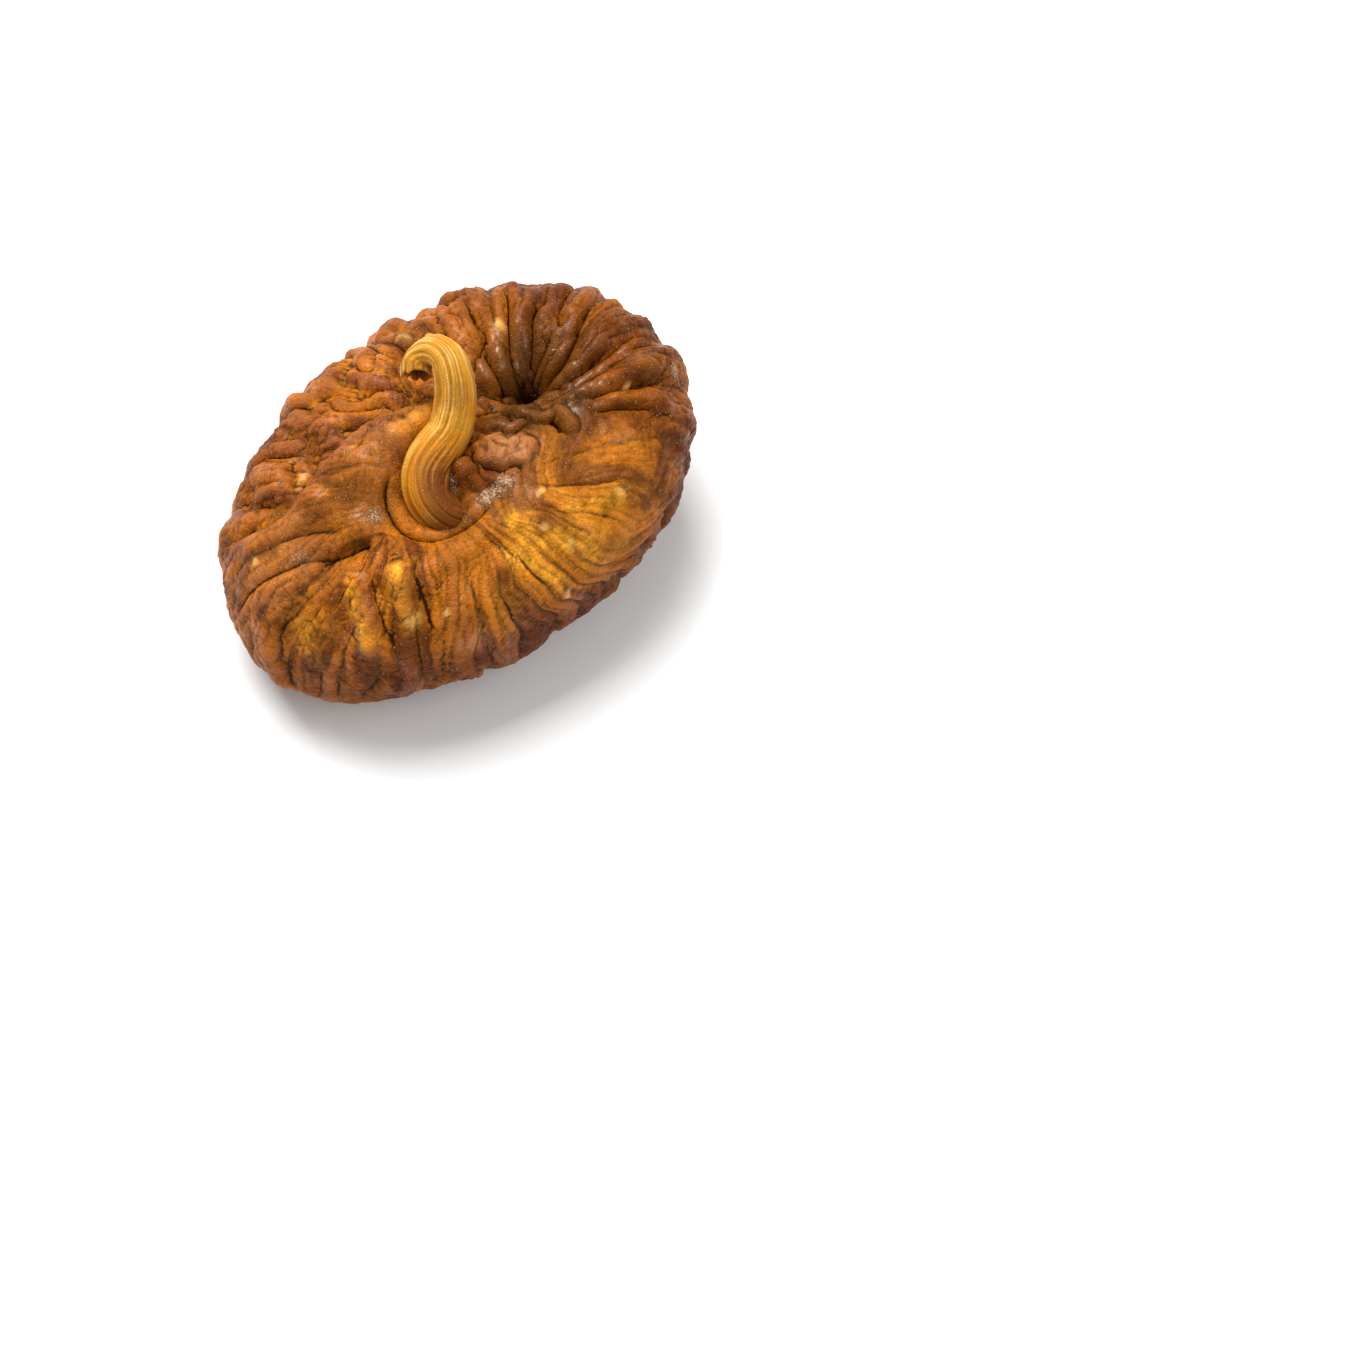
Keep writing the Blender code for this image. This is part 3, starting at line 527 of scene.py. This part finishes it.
def pleats(plan, skin, reach):
    wander = [amount * noiseField(skin / size + shift, seed)
              for size, shift, seed, amount in ((8, 0, 11, 1.3), (8, 40, 12, 1.3),
                                                (3, 0, 13, 0.3), (3, 40, 14, 0.3))]
    place = plan + np.stack([wander[0] + wander[2], wander[1] + wander[3]], axis=-1)
    # two ends of the seam give each place a bearing round it and a distance from it
    first, last = unrolled(*skinSet["pit"]), unrolled(*skinSet["dimple"])
    seam = last - first
    near, far = np.hypot(*(place - first).T), np.hypot(*(place - last).T)
    cosine = np.clip((near - far) / np.hypot(*seam), -1, 1)
    under, lumpy, broad, calm = zones(plan, reach)
    # on the right the lines spread from the neck's foot instead
    foot = place - unrolled(*skinSet["foot"])
    spread = foot @ seam / np.hypot(*seam) / np.maximum(np.hypot(*foot.T), 0.01)
    cosine += 0.85 * broad * (spread - cosine)
    side = np.sign(seam[0] * (place - first)[:, 1] - seam[1] * (place - first)[:, 0])
    sine = side * np.sqrt(1 - cosine ** 2)
    away = (near + far - np.hypot(*seam)) / 2
    drift = noiseField(skin / 9, 17)

    def fan(count, run, shift):
        return np.stack([count * cosine, count * sine, away / run + shift], axis=-1)

    pleat = billow(fan(skinSet["pleatCount"], skinSet["pleatRun"], 1), 1, 0.8, 0.008)
    h = skinSet["pleatHeight"] * (pleat - 0.37)
    h += ribs(np.arctan2(sine, cosine), drift) * smoothStep(away, 3, 9)
    drawn = (1 - 0.7 * mound(plan, skinSet["dimple"], 5.5, 4)) * (1 - 0.6 * mound(plan, (215, 0.8), 10))
    drawn *= 1 - 0.25 * mound(plan, (20, 0.9), 9)
    fade = smoothStep(away, 0.5, 6) * (1 - 0.85 * lumpy) * (1 - under)
    h *= fade * (1 - 0.8 * broad) * (1 - 0.85 * calm) * drawn
    soft = (1 - 0.3 * lumpy) * (1 - 0.6 * broad) * (1 - 0.55 * calm) * (1 - under) * drawn
    for count, run, seed, height in skinSet["finePleats"]:
        fine = billow(fan(count, run, seed), seed, 0.8) - 0.33
        h += height * fine * smoothStep(away, 0.4, 70 / count) * soft
    jitter = 0.4 * noiseField(skin / 3, 5)[:, None]
    lump = billow(fan(skinSet["lumpCount"], skinSet["lumpRun"], 3) + jitter, 6, 0.7, 0.006)
    small = billow(fan(2.1 * skinSet["lumpCount"], 0.5 * skinSet["lumpRun"], 5) + jitter, 36, 0.8, 0.006)
    lobe = billow(skin / 4.2, 9, 0.9)
    h += lumpy * (skinSet["lumpHeight"] * (lump - 0.4) + 0.4 * (small - 0.35))
    h += broad * skinSet["lobeHeight"] * (lobe - 0.22)
    # underneath the pleats gather at the eye
    out = skin - eyePlace()
    gone = np.linalg.norm(out, axis=1)
    turn = np.arctan2(out[:, 1], out[:, 0]) + 0.25 * noiseField(skin / 9, 15)
    below = under * smoothStep(gone, 1.5, 8)
    count = skinSet["underCount"]
    for finer, height, seed in ((1, skinSet["underHeight"], 16), (2.6, 0.7, 18), (5, 0.3, 19)):
        turned = np.stack([finer * count * np.cos(turn), finer * count * np.sin(turn),
                           gone * finer / skinSet["underRun"]], axis=-1)
        h += height * (billow(turned, seed, 0.8) - 0.34) * below
    h += ribs(turn, drift) * below
    streak = noiseField(fan(5, 14, 7), 41) + 0.6 * noiseField(fan(12, 8, 8), 42)
    return h, (under, lumpy, broad, calm, streak)


def eyePlace():
    return plainSkin(np.radians([skinSet["eye"][0]]), np.array([skinSet["eye"][1]]))[0]


def wrinkles(skin, calm, broad):
    warp = 0.5 * noiseField(skin / 1.1, 21)[:, None]
    fine = 0.26 * billow(skin / 1.35 + warp, 22, 0.8) + 0.15 * billow(skin / 0.72, 23, 1.0)
    return (fine - 0.13) * (1 - 0.5 * calm) * (1 - 0.65 * broad)


def skinMasks(plan, skin, reach, h, edges, kinds):
    _, lumpy, broad, calm, streak = kinds
    top = 1 - smoothStep(reach, 1.0, 1.3)
    # how deep each place lies under the skin round it, over a wide and a narrow stretch
    cavity, hair = (relaxed(h, edges, passes) - h for passes in (60, 6))
    cavity, hair = (0.5 + 0.5 * np.tanh(0.8 * v / np.std(v[reach < 1.2])) for v in (cavity, hair))

    def spots(name):
        marks = sum(share * mound(plan, (b, r), size) for b, r, size, share in skinSet[name + "Spots"])
        return np.clip(marks, 0, 1) * top

    strips = sum(ridge(plan, bend(*path), share, width, 0.25, 0.35)
                 for path, width, share in skinSet["goldStrips"])
    gold = np.clip(spots("gold") + 0.12 * broad + np.clip(strips, 0, 1) * top, 0, 1)
    gold = gold * (0.8 + 0.6 * noiseField(skin / 0.8, 44) + 0.4 * noiseField(skin / 2.2, 45))
    crest = np.clip(0.35 + 0.5 * lumpy + 0.6 * noiseField(skin / 3.5, 43), 0, 1)
    crest *= smoothStep(0.5 - cavity, 0, 0.3)
    torn = uneven(plan, 0.5, 0.8, 53)
    wart = np.clip(sum(mound(torn, (b, r), size, 4) for b, r, size in skinSet["warts"]), 0, 1)
    # painted shade: the rim is darker on the side away from the key light, and the low spots add more of it
    facing = np.cos(np.arctan2(plan[:, 1], plan[:, 0]) - np.radians(280))
    low = smoothStep(reach, 0.72, 1.05) * (0.55 + 0.45 * facing)
    masks = {name: spots(name) for name in ("olive", "bloom", "shade", "dust", "gloss")}
    masks.update({"cavity": cavity, "hair": hair, "gold": np.clip(gold, 0, 1), "crest": crest,
                  "low": np.clip(low + spots("low"), 0, 1), "slope": calm * top,
                  "streak": np.clip(0.5 + 0.6 * streak, 0, 1), "wart": wart * top})
    return masks


def insideBox(skin):
    # crests at the sides are eased back inside the CAD box
    start, run = skinSet["easeStart"], skinSet["easeRun"]
    for axis in (0, 1):
        low, high = cadLow[axis] / mm, cadHigh[axis] / mm
        middle, half = (low + high) / 2, (high - low) / 2 - skinSet["boxMargin"]
        part = (skin[:, axis] - middle) / half
        over = np.clip(np.abs(part) - start, 0, None)
        part = np.sign(part) * (np.minimum(np.abs(part), start) + run * np.tanh(over / run))
        skin[:, axis] = middle + part * half


def makeSkin():
    bm = bmesh.new()
    bmesh.ops.create_cube(bm, size=2.0)
    bmesh.ops.subdivide_edges(bm, edges=bm.edges[:], cuts=skinSet["rows"] - 1, use_grid_fill=True)
    bmesh.ops.recalc_face_normals(bm, faces=bm.faces[:])
    ball = np.tan(np.array([v.co for v in bm.verts]) * np.pi / 4)
    ball /= np.linalg.norm(ball, axis=1, keepdims=True)
    ball[:, 2] += skinSet["crownShare"]  # facets are a little closer together on the crown
    ball /= np.linalg.norm(ball, axis=1, keepdims=True)
    quads = np.array([[v.index for v in f.verts] for f in bm.faces])
    edges = np.array([[v.index for v in e.verts] for e in bm.edges])
    turn = np.arctan2(ball[:, 1], ball[:, 0])
    reach = np.arccos(np.clip(ball[:, 2], -1, 1)) * 2 / np.pi
    skin = plainSkin(turn, reach)
    outward = looseNormals(skin, quads)
    plan = unrolled(np.degrees(turn), reach)
    middle = plainSkin(np.zeros(1), np.full(1, 2.0))[0]
    rest = np.hypot(*(skin - middle)[:, :2].T)
    still = np.where(reach > 1, smoothStep(rest, skinSet["restRadius"], 1.7 * skinSet["restRadius"]), 1)
    pleated, kinds = pleats(plan, skin, reach)
    h = folds(plan) + pleated * still + wrinkles(skin, kinds[3], kinds[2]) * (0.2 + 0.8 * still)
    h -= skinSet["basinDepth"] * np.exp(-(reach / skinSet["basinReach"]) ** 2)
    hollow = np.linalg.norm(skin - eyePlace(), axis=1) / skinSet["eyeRadius"]
    h -= skinSet["eyeDepth"] * (np.exp(-hollow ** 2) - 0.3 * np.exp(-(hollow - 1.9) ** 2 / 0.3))
    masks = skinMasks(plan, skin, reach, h, edges, kinds)
    swell = skinSet["swell"]
    skin = skin + outward * (h - swell)[:, None]
    for _ in range(2):  # swelling the skin outward in two steps narrows its creases
        skin += relaxed(looseNormals(skin, quads), edges, 2) * swell / 2
    skin[:, 2] = np.clip(skin[:, 2] - skinSet["restCut"], 0, None)
    skin -= boxShift
    insideBox(skin)
    for vert, place in zip(bm.verts, skin * mm):
        vert.co = place
    return placePiece("figSkin", bm, masks)


def dressSkin(piece):
    material, tree, shader = newMaterial("figSkin")
    place = addNode(tree, "ShaderNodeTexCoord").outputs["Object"]
    grained = placeGroup(tree, grain, {"Vector": place, "Size": skinSet["grainSize"]})
    sugared = placeGroup(tree, specks, {"Vector": place, "Bloom": mask(tree, "bloom"), "Amount": 0.6})
    cavity, hair = mask(tree, "cavity"), mask(tree, "hair")
    streak = plus(tree, mask(tree, "streak"), times(tree, grained["Patch"], 0.8))

    def cover(colour, name, share, paint):
        return mixTone(tree, times(tree, mask(tree, name), share), colour, skinSet[paint])

    colour = mixTone(tree, ramp(tree, streak, 0.7, 0.98), skinSet["brown"], skinSet["orange"])
    colour = mixTone(tree, ramp(tree, cavity, 0.5, 0.75, 0.0, 0.7), colour, skinSet["amber"])
    colour = cover(colour, "slope", 0.7, "slope")
    colour = cover(colour, "crest", 0.9, "dusty")
    gilded = times(tree, mask(tree, "gold"), ramp(tree, streak, 0.5, 0.85, 0.6, 1.0))
    colour = mixTone(tree, gilded, colour, skinSet["gold"])
    colour = cover(colour, "olive", 0.8, "olive")
    # painted shade: the deepest creases turn deep red-brown
    creaseShade = times(tree, ramp(tree, cavity, 0.6, 0.9, 0.0, 0.85), ramp(tree, hair, 0.5, 0.85, 0.2, 1.0))
    colour = mixTone(tree, creaseShade, colour, skinSet["deep"])
    colour = cover(colour, "shade", 0.65, "dark")
    # painted shade on the rim and at the low spots
    colour = cover(colour, "low", 0.75, "dim")
    colour = cover(colour, "dust", 0.7, "pale")
    colour = cover(colour, "wart", 0.5, "wart")
    # mottling, with painted shade in hair creases and painted highlight on their crests
    mottleAndShading = ramp(tree, grained["Fine"], 0.32, 0.68, 0.84, 1.16)
    mottleAndShading = times(tree, mottleAndShading, ramp(tree, hair, 0.85, 0.15, 0.6, 1.3))
    mottleAndShading = times(tree, mottleAndShading, ramp(tree, grained["Patch"], 0.35, 0.65, 0.8, 1.2))
    mottledAndShaded = addNode(tree, "ShaderNodeVectorMath", operation="SCALE")
    feed(tree, mottledAndShaded, {0: colour, "Scale": mottleAndShading})
    colour = mixTone(tree, times(tree, sugared["Crust"], 0.7), mottledAndShaded.outputs[0], skinSet["sugar"])
    colour = mixTone(tree, times(tree, sugared["Specks"], 0.6), colour, skinSet["sugar"])
    rough = ramp(tree, grained["Fine"], 0.3, 0.7, 0.3, 0.5)
    rough = plus(tree, rough, times(tree, sugared["Crust"], 0.25))
    height = plus(tree, grained["Height"], times(tree, sugared["Height"], 0.7))
    bump = addNode(tree, "ShaderNodeBump")
    feed(tree, bump, {"Height": height, "Strength": 1.0, "Distance": skinSet["bumpHeight"]})
    # moist patches
    wet = times(tree, mask(tree, "gloss"), ramp(tree, grained["Patch"], 0.4, 0.6, 0.1, 0.6))
    wet = plus(tree, wet, ramp(tree, grained["Patch"], 0.5, 0.68, 0.0, 0.3))
    feed(tree, shader, {"Base Color": colour, "Roughness": rough, "Normal": bump.outputs[0],
                        "Coat Weight": wet, "Coat Roughness": skinSet["coatRoughness"],
                        "Subsurface Weight": skinSet["translucence"],
                        "Subsurface Radius": skinSet["glowRadius"], "Subsurface Scale": skinSet["glowDepth"],
                        "Specular IOR Level": skinSet["specular"]})
    piece.data.materials.append(material)


skinPiece = makeSkin()
dressSkin(skinPiece)
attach(skinPiece, "root")
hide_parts("fruit")
print("skin dressed")


# Neck and stalk: x, y, z of each section's middle, half width across, half depth, mm

stalkSet = {
    "sections": (
        (1.3, -3.7, 13.8, 1.0, 1.0), (-1.0, -4.7, 16.0, 1.5, 1.35), (-3.2, -5.0, 17.9, 2.0, 1.65),
        (-4.6, -4.2, 19.3, 2.45, 1.95), (-4.6, -2.6, 20.1, 2.8, 2.15), (-3.4, -1.0, 20.7, 2.9, 2.2),
        (-1.4, 0.0, 21.4, 2.7, 2.15), (0.3, 0.6, 22.3, 2.35, 2.0), (1.6, 1.6, 23.7, 2.1, 1.9),
        (2.4, 2.6, 25.3, 2.0, 1.75), (2.8, 3.5, 26.4, 1.9, 1.6), (3.0, 4.5, 27.0, 1.7, 1.5),
        (2.8, 5.5, 27.0, 1.5, 1.4), (2.3, 6.3, 26.4, 1.35, 1.3), (1.5, 6.6, 25.6, 1.3, 1.25),
        (0.8, 6.4, 24.9, 1.35, 1.3), (0.5, 6.0, 24.3, 1.4, 1.35)),
    "ribCount": 9, "ribHeight": 0.16, "twist": 0.05, "strandHeight": 0.07, "sides": 160, "steps": 18,
    "endDepth": 1.5, "endSlant": 0.75, "endTear": 0.5, "endCurl": 0.16, "tearRun": 3.0,
    # loops that line the hollow end: share of the rim's size, place in depths, how dark the painted shade is
    # there
    "caps": ((0.88, 0.03, 0.1), (0.68, -0.1, 0.7), (0.52, -0.45, 1), (0.36, -0.85, 1), (0.16, -1.1, 1)),
    "straw": tone(200, 140, 36), "pale": tone(220, 184, 108), "umber": tone(108, 54, 10),
    "olive": tone(140, 100, 40), "dark": tone(34, 20, 9), "rust": tone(176, 66, 22),
    "honey": tone(206, 128, 16), "grainSize": 1300.0, "specular": 0.15, "translucence": 0.2,
    "glowRadius": (1.0, 0.5, 0.2), "glowDepth": 0.0006, "bumpHeight": 0.00015,
}


def stalkRings():
    sections = spline(stalkSet["sections"], stalkSet["steps"])
    middle, across, deep = sections[:, :3], sections[:, 3], sections[:, 4]
    middle = middle - [0, 0, skinSet["restCut"]]  # lowered with the skin
    heading = np.gradient(middle, axis=0)
    heading /= np.linalg.norm(heading, axis=1, keepdims=True)
    run = np.concatenate([[0], np.cumsum(np.linalg.norm(np.diff(middle, axis=0), axis=1))])
    side = np.cross(heading[0], [0, 0, 1])
    turn = np.linspace(0, 2 * np.pi, stalkSet["sides"], endpoint=False)
    rings, ribbing, strands = [], [], []
    for i, ahead in enumerate(heading):
        side = side - ahead * (side @ ahead)
        side /= np.linalg.norm(side)
        up = np.cross(side, ahead)
        phase = turn + stalkSet["twist"] * run[i] + 0.12 * np.sin(2 * turn)
        wave = np.stack([1.6 * np.cos(phase), 1.6 * np.sin(phase), np.full(len(turn), run[i] / 14)], axis=-1)
        waver = 0.55 * noiseField(wave, 31)
        rib = stalkSet["ribHeight"] * (np.abs(np.cos(stalkSet["ribCount"] / 2 * phase + waver)) ** 0.7 - 0.6)
        strand = billow(wave * [3.2, 3.2, 1.6], 32, 0.9) - 0.25
        rib += stalkSet["strandHeight"] * 2 * strand + 0.05 * noiseField(wave * [2, 2, 14], 33)
        spokes = np.outer((across[i] + rib) * np.cos(turn), side)
        rings.append(middle[i] + spokes + np.outer((deep[i] + rib) * np.sin(turn), up))
        ribbing.append(rib)
        strands.append(strand)
    return np.array(rings), np.ravel(ribbing), np.ravel(strands), heading, run


def makeStalk():
    rings, relief, fibre, heading, run = stalkRings()
    sides = stalkSet["sides"]
    outward = rings - rings.mean(axis=1, keepdims=True)
    outward /= np.linalg.norm(outward, axis=2, keepdims=True)
    # share of each corner that faces the knob, used for painted shade
    shadeSide = (0.5 + 0.5 * outward @ np.array([0.8, -0.6, 0.0])).ravel()
    # the end is torn off at a slant, so that its hollow looks up
    last, ahead = rings[-1].mean(axis=0), heading[-1]
    upward = np.array([0, 0, 1]) - ahead * ahead[2]
    upward /= np.linalg.norm(upward)
    height = (rings[-1] - last) @ upward
    turn = np.linspace(0, 2 * np.pi, sides, endpoint=False)
    shreds = noiseField(np.stack([2.2 * np.cos(turn), 2.2 * np.sin(turn), 0 * turn], axis=-1), 34)
    pulled = stalkSet["endTear"] * shreds - stalkSet["endSlant"] * height
    for i, ring in enumerate(rings):
        weight = smoothStep(run[i], run[-1] - stalkSet["tearRun"], run[-1])
        ring += weight * pulled[:, None] * ahead
        ring += weight ** 2 * stalkSet["endCurl"] * shreds[:, None] * (ring - ring.mean(axis=0))
    rim, last, depth = rings[-1], rings[-1].mean(axis=0), stalkSet["endDepth"]
    lining = [last + share * (rim - last) + ahead * drop * depth for share, drop, _ in stalkSet["caps"]]
    loops = np.concatenate([rings, lining])
    foot, bottom = rings[0].mean(axis=0) - 0.5 * heading[0], last - ahead * 1.15 * depth
    places = np.concatenate([loops.reshape(-1, 3), [foot, bottom]]) - boxShift
    bm = bmesh.new()
    verts = [bm.verts.new(place * mm) for place in places]
    tail = (len(loops) - 1) * sides  # first corner of the last loop
    for start in range(0, tail, sides):
        for j in range(sides):
            a, b = start + j, start + (j + 1) % sides
            bm.faces.new([verts[n] for n in (a, b, b + sides, a + sides)])
    for j in range(sides):
        k = (j + 1) % sides
        bm.faces.new((verts[-2], verts[j], verts[k]))
        bm.faces.new((verts[-1], verts[tail + j], verts[tail + k]))
    bmesh.ops.recalc_face_normals(bm, faces=bm.faces[:])

    def whole(values, lined, middles):
        # values of the rings, of the loops in the hollow end and of the two closing points
        return np.concatenate([values, lined * np.ones(len(lining) * sides), middles])

    # painted shade in the hollow end, darker deeper in and darkest at its bottom
    hollowShade = np.repeat([dark for _, _, dark in stalkSet["caps"]], sides)
    masks = {
        "along": whole(np.repeat(run / run[-1], sides), 1.0, (0, 1)),
        "relief": whole(np.clip((relief + 0.2) / 0.4, 0, 1), 0.5, (0, 0)),
        "fibre": whole(np.clip((fibre + 0.25) / 0.6, 0, 1), 0.5, (0, 0)),
        "shadeSide": whole(shadeSide, 0.5, (0, 0)),
        "hollow": whole(np.zeros(len(relief)), hollowShade, (0, 1)),
    }
    return placePiece("figStalk", bm, masks)


def dressStalk(piece):
    material, tree, shader = newMaterial("figStalk")
    place = addNode(tree, "ShaderNodeTexCoord").outputs["Object"]
    grained = placeGroup(tree, grain, {"Vector": place, "Size": stalkSet["grainSize"]})
    along, relief, fibre = mask(tree, "along"), mask(tree, "relief"), mask(tree, "fibre")
    bloom = times(tree, ramp(tree, along, 0.34, 0.2), 0.5)
    sugared = placeGroup(tree, specks, {"Vector": place, "Bloom": bloom, "Amount": 0.3})
    patch = noiseNode(tree, place, 420.0, 3.0, 0.6)
    # pale fibres, more toward the top, and painted highlight on the crests of the strands
    paleAndLitStrands = times(tree, ramp(tree, fibre, 0.45, 0.85), ramp(tree, along, 0.4, 0.8, 0.25, 1.0))
    colour = mixTone(tree, paleAndLitStrands, stalkSet["straw"], stalkSet["pale"])
    honeyed = times(tree, ramp(tree, noiseNode(tree, place, 260.0, 2.0), 0.42, 0.62), 0.8)
    colour = mixTone(tree, honeyed, colour, stalkSet["honey"])
    # painted shade: umber in the grooves between the ribs and between the strands
    colour = mixTone(tree, ramp(tree, relief, 0.45, 0.1, 0.0, 0.5), colour, stalkSet["umber"])
    colour = mixTone(tree, ramp(tree, fibre, 0.4, 0.1, 0.0, 0.4), colour, stalkSet["umber"])
    colour = mixTone(tree, ramp(tree, patch, 0.5, 0.75, 0.0, 0.5), colour, stalkSet["olive"])
    # brown of the neck from the foot up, and painted shade that is strongest on the side that faces the knob
    level = plus(tree, along, times(tree, patch, 0.16))
    level = plus(tree, level, times(tree, fibre, 0.1))
    turned = ramp(tree, mask(tree, "shadeSide"), 0.15, 0.65, 0.1, 0.95)
    colour = mixTone(tree, times(tree, ramp(tree, level, 0.72, 0.5), turned), colour, stalkSet["umber"])
    rusty = times(tree, ramp(tree, along, 0.93, 0.98), ramp(tree, patch, 0.48, 0.6, 0.0, 0.5))
    colour = mixTone(tree, rusty, colour, stalkSet["rust"])
    # painted shade inside the hollow end
    colour = mixTone(tree, mask(tree, "hollow"), colour, stalkSet["dark"])
    colour = mixTone(tree, times(tree, sugared["Crust"], 0.5), colour, skinSet["sugar"])
    colour = mixTone(tree, times(tree, sugared["Specks"], 0.4), colour, skinSet["sugar"])
    rough = ramp(tree, grained["Fine"], 0.3, 0.7, 0.4, 0.6)
    bump = addNode(tree, "ShaderNodeBump")
    feed(tree, bump, {"Height": grained["Height"], "Strength": 1.0, "Distance": stalkSet["bumpHeight"]})
    feed(tree, shader, {"Base Color": colour, "Roughness": rough, "Normal": bump.outputs[0],
                        "Subsurface Weight": stalkSet["translucence"],
                        "Subsurface Radius": stalkSet["glowRadius"],
                        "Subsurface Scale": stalkSet["glowDepth"],
                        "Specular IOR Level": stalkSet["specular"]})
    piece.data.materials.append(material)


stalkPiece = makeStalk()
dressStalk(stalkPiece)
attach(stalkPiece, "root")
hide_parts("stem")
print("stalk dressed")


# Floor, light and camera

stageSet = {
    "floorSize": 2.4, "floorTone": (0.86, 0.86, 0.855, 1.0),
    "skyTone": (1.0, 1.0, 1.0, 1.0), "skyStrength": 0.45, "aim": (0, 0, 0.012),
    # place and size of each light in m, and its power
    "key": ((0.05, 0.3, 0.6), 0.42, 7.15), "fill": ((0.2, -0.36, 0.45), 0.4, 1.2),
}
# mm, apart from the angles and the fig's middle in pixels of the square frame
cameraSet = {"azimuth": -36.0, "elevation": 66.0, "lens": 100.0, "sensor": 36.0,
             "frameWidth": 128.63, "pixels": 1366, "middle": (457.3, 488.4), "middleHeight": 11.0}


def makeFloor():
    half = stageSet["floorSize"] / 2
    mesh = bpy.data.meshes.new("floor")
    corners = [(-half, -half, 0), (half, -half, 0), (half, half, 0), (-half, half, 0)]
    mesh.from_pydata(corners, [], [(0, 1, 2, 3)])
    floor = bpy.data.objects.new("floor", mesh)
    bpy.context.collection.objects.link(floor)
    material, tree, shader = newMaterial("floor")
    feed(tree, shader, {"Base Color": stageSet["floorTone"], "Roughness": 0.9, "Specular IOR Level": 0.1})
    mesh.materials.append(material)


def makeLight(name, place, size, power):
    data = bpy.data.lights.new(name, "AREA")
    data.size, data.energy = size, power
    lamp = bpy.data.objects.new(name, data)
    bpy.context.collection.objects.link(lamp)
    lamp.location = place
    toward = Vector(stageSet["aim"]) - Vector(place)
    lamp.rotation_euler = toward.to_track_quat("-Z", "Y").to_euler()


def makeCamera():
    turn, rise = np.radians(cameraSet["azimuth"]), np.radians(cameraSet["elevation"])
    back = np.array([np.sin(turn) * np.cos(rise), -np.cos(turn) * np.cos(rise), np.sin(rise)])
    right = np.array([np.cos(turn), np.sin(turn), 0.0])
    up = np.cross(back, right)
    perPixel = cameraSet["frameWidth"] / cameraSet["pixels"]
    acrossPixels, downPixels = (at - cameraSet["pixels"] / 2 for at in cameraSet["middle"])
    aim = np.array([0, 0, cameraSet["middleHeight"]]) - right * acrossPixels * perPixel
    aim = aim + up * downPixels * perPixel
    spot = aim + back * cameraSet["frameWidth"] * cameraSet["lens"] / cameraSet["sensor"] - boxShift
    data = bpy.data.cameras.new("camera")
    data.lens, data.sensor_width, data.clip_start = cameraSet["lens"], cameraSet["sensor"], 0.01
    camera = bpy.data.objects.new("camera", data)
    bpy.context.collection.objects.link(camera)
    turned = Matrix((right.tolist(), up.tolist(), back.tolist())).transposed().to_4x4()
    camera.matrix_world = Matrix.Translation(Vector((spot * mm).tolist())) @ turned
    bpy.context.scene.camera = camera


makeFloor()
makeLight("key", *stageSet["key"])
makeLight("fill", *stageSet["fill"])
world = bpy.data.worlds.new("sky")
world.use_nodes = True
world.node_tree.nodes["Background"].inputs[0].default_value = stageSet["skyTone"]
world.node_tree.nodes["Background"].inputs[1].default_value = stageSet["skyStrength"]
bpy.context.scene.world = world
bpy.context.scene.view_settings.view_transform = "Standard"
makeCamera()
print("floor, light and camera set")
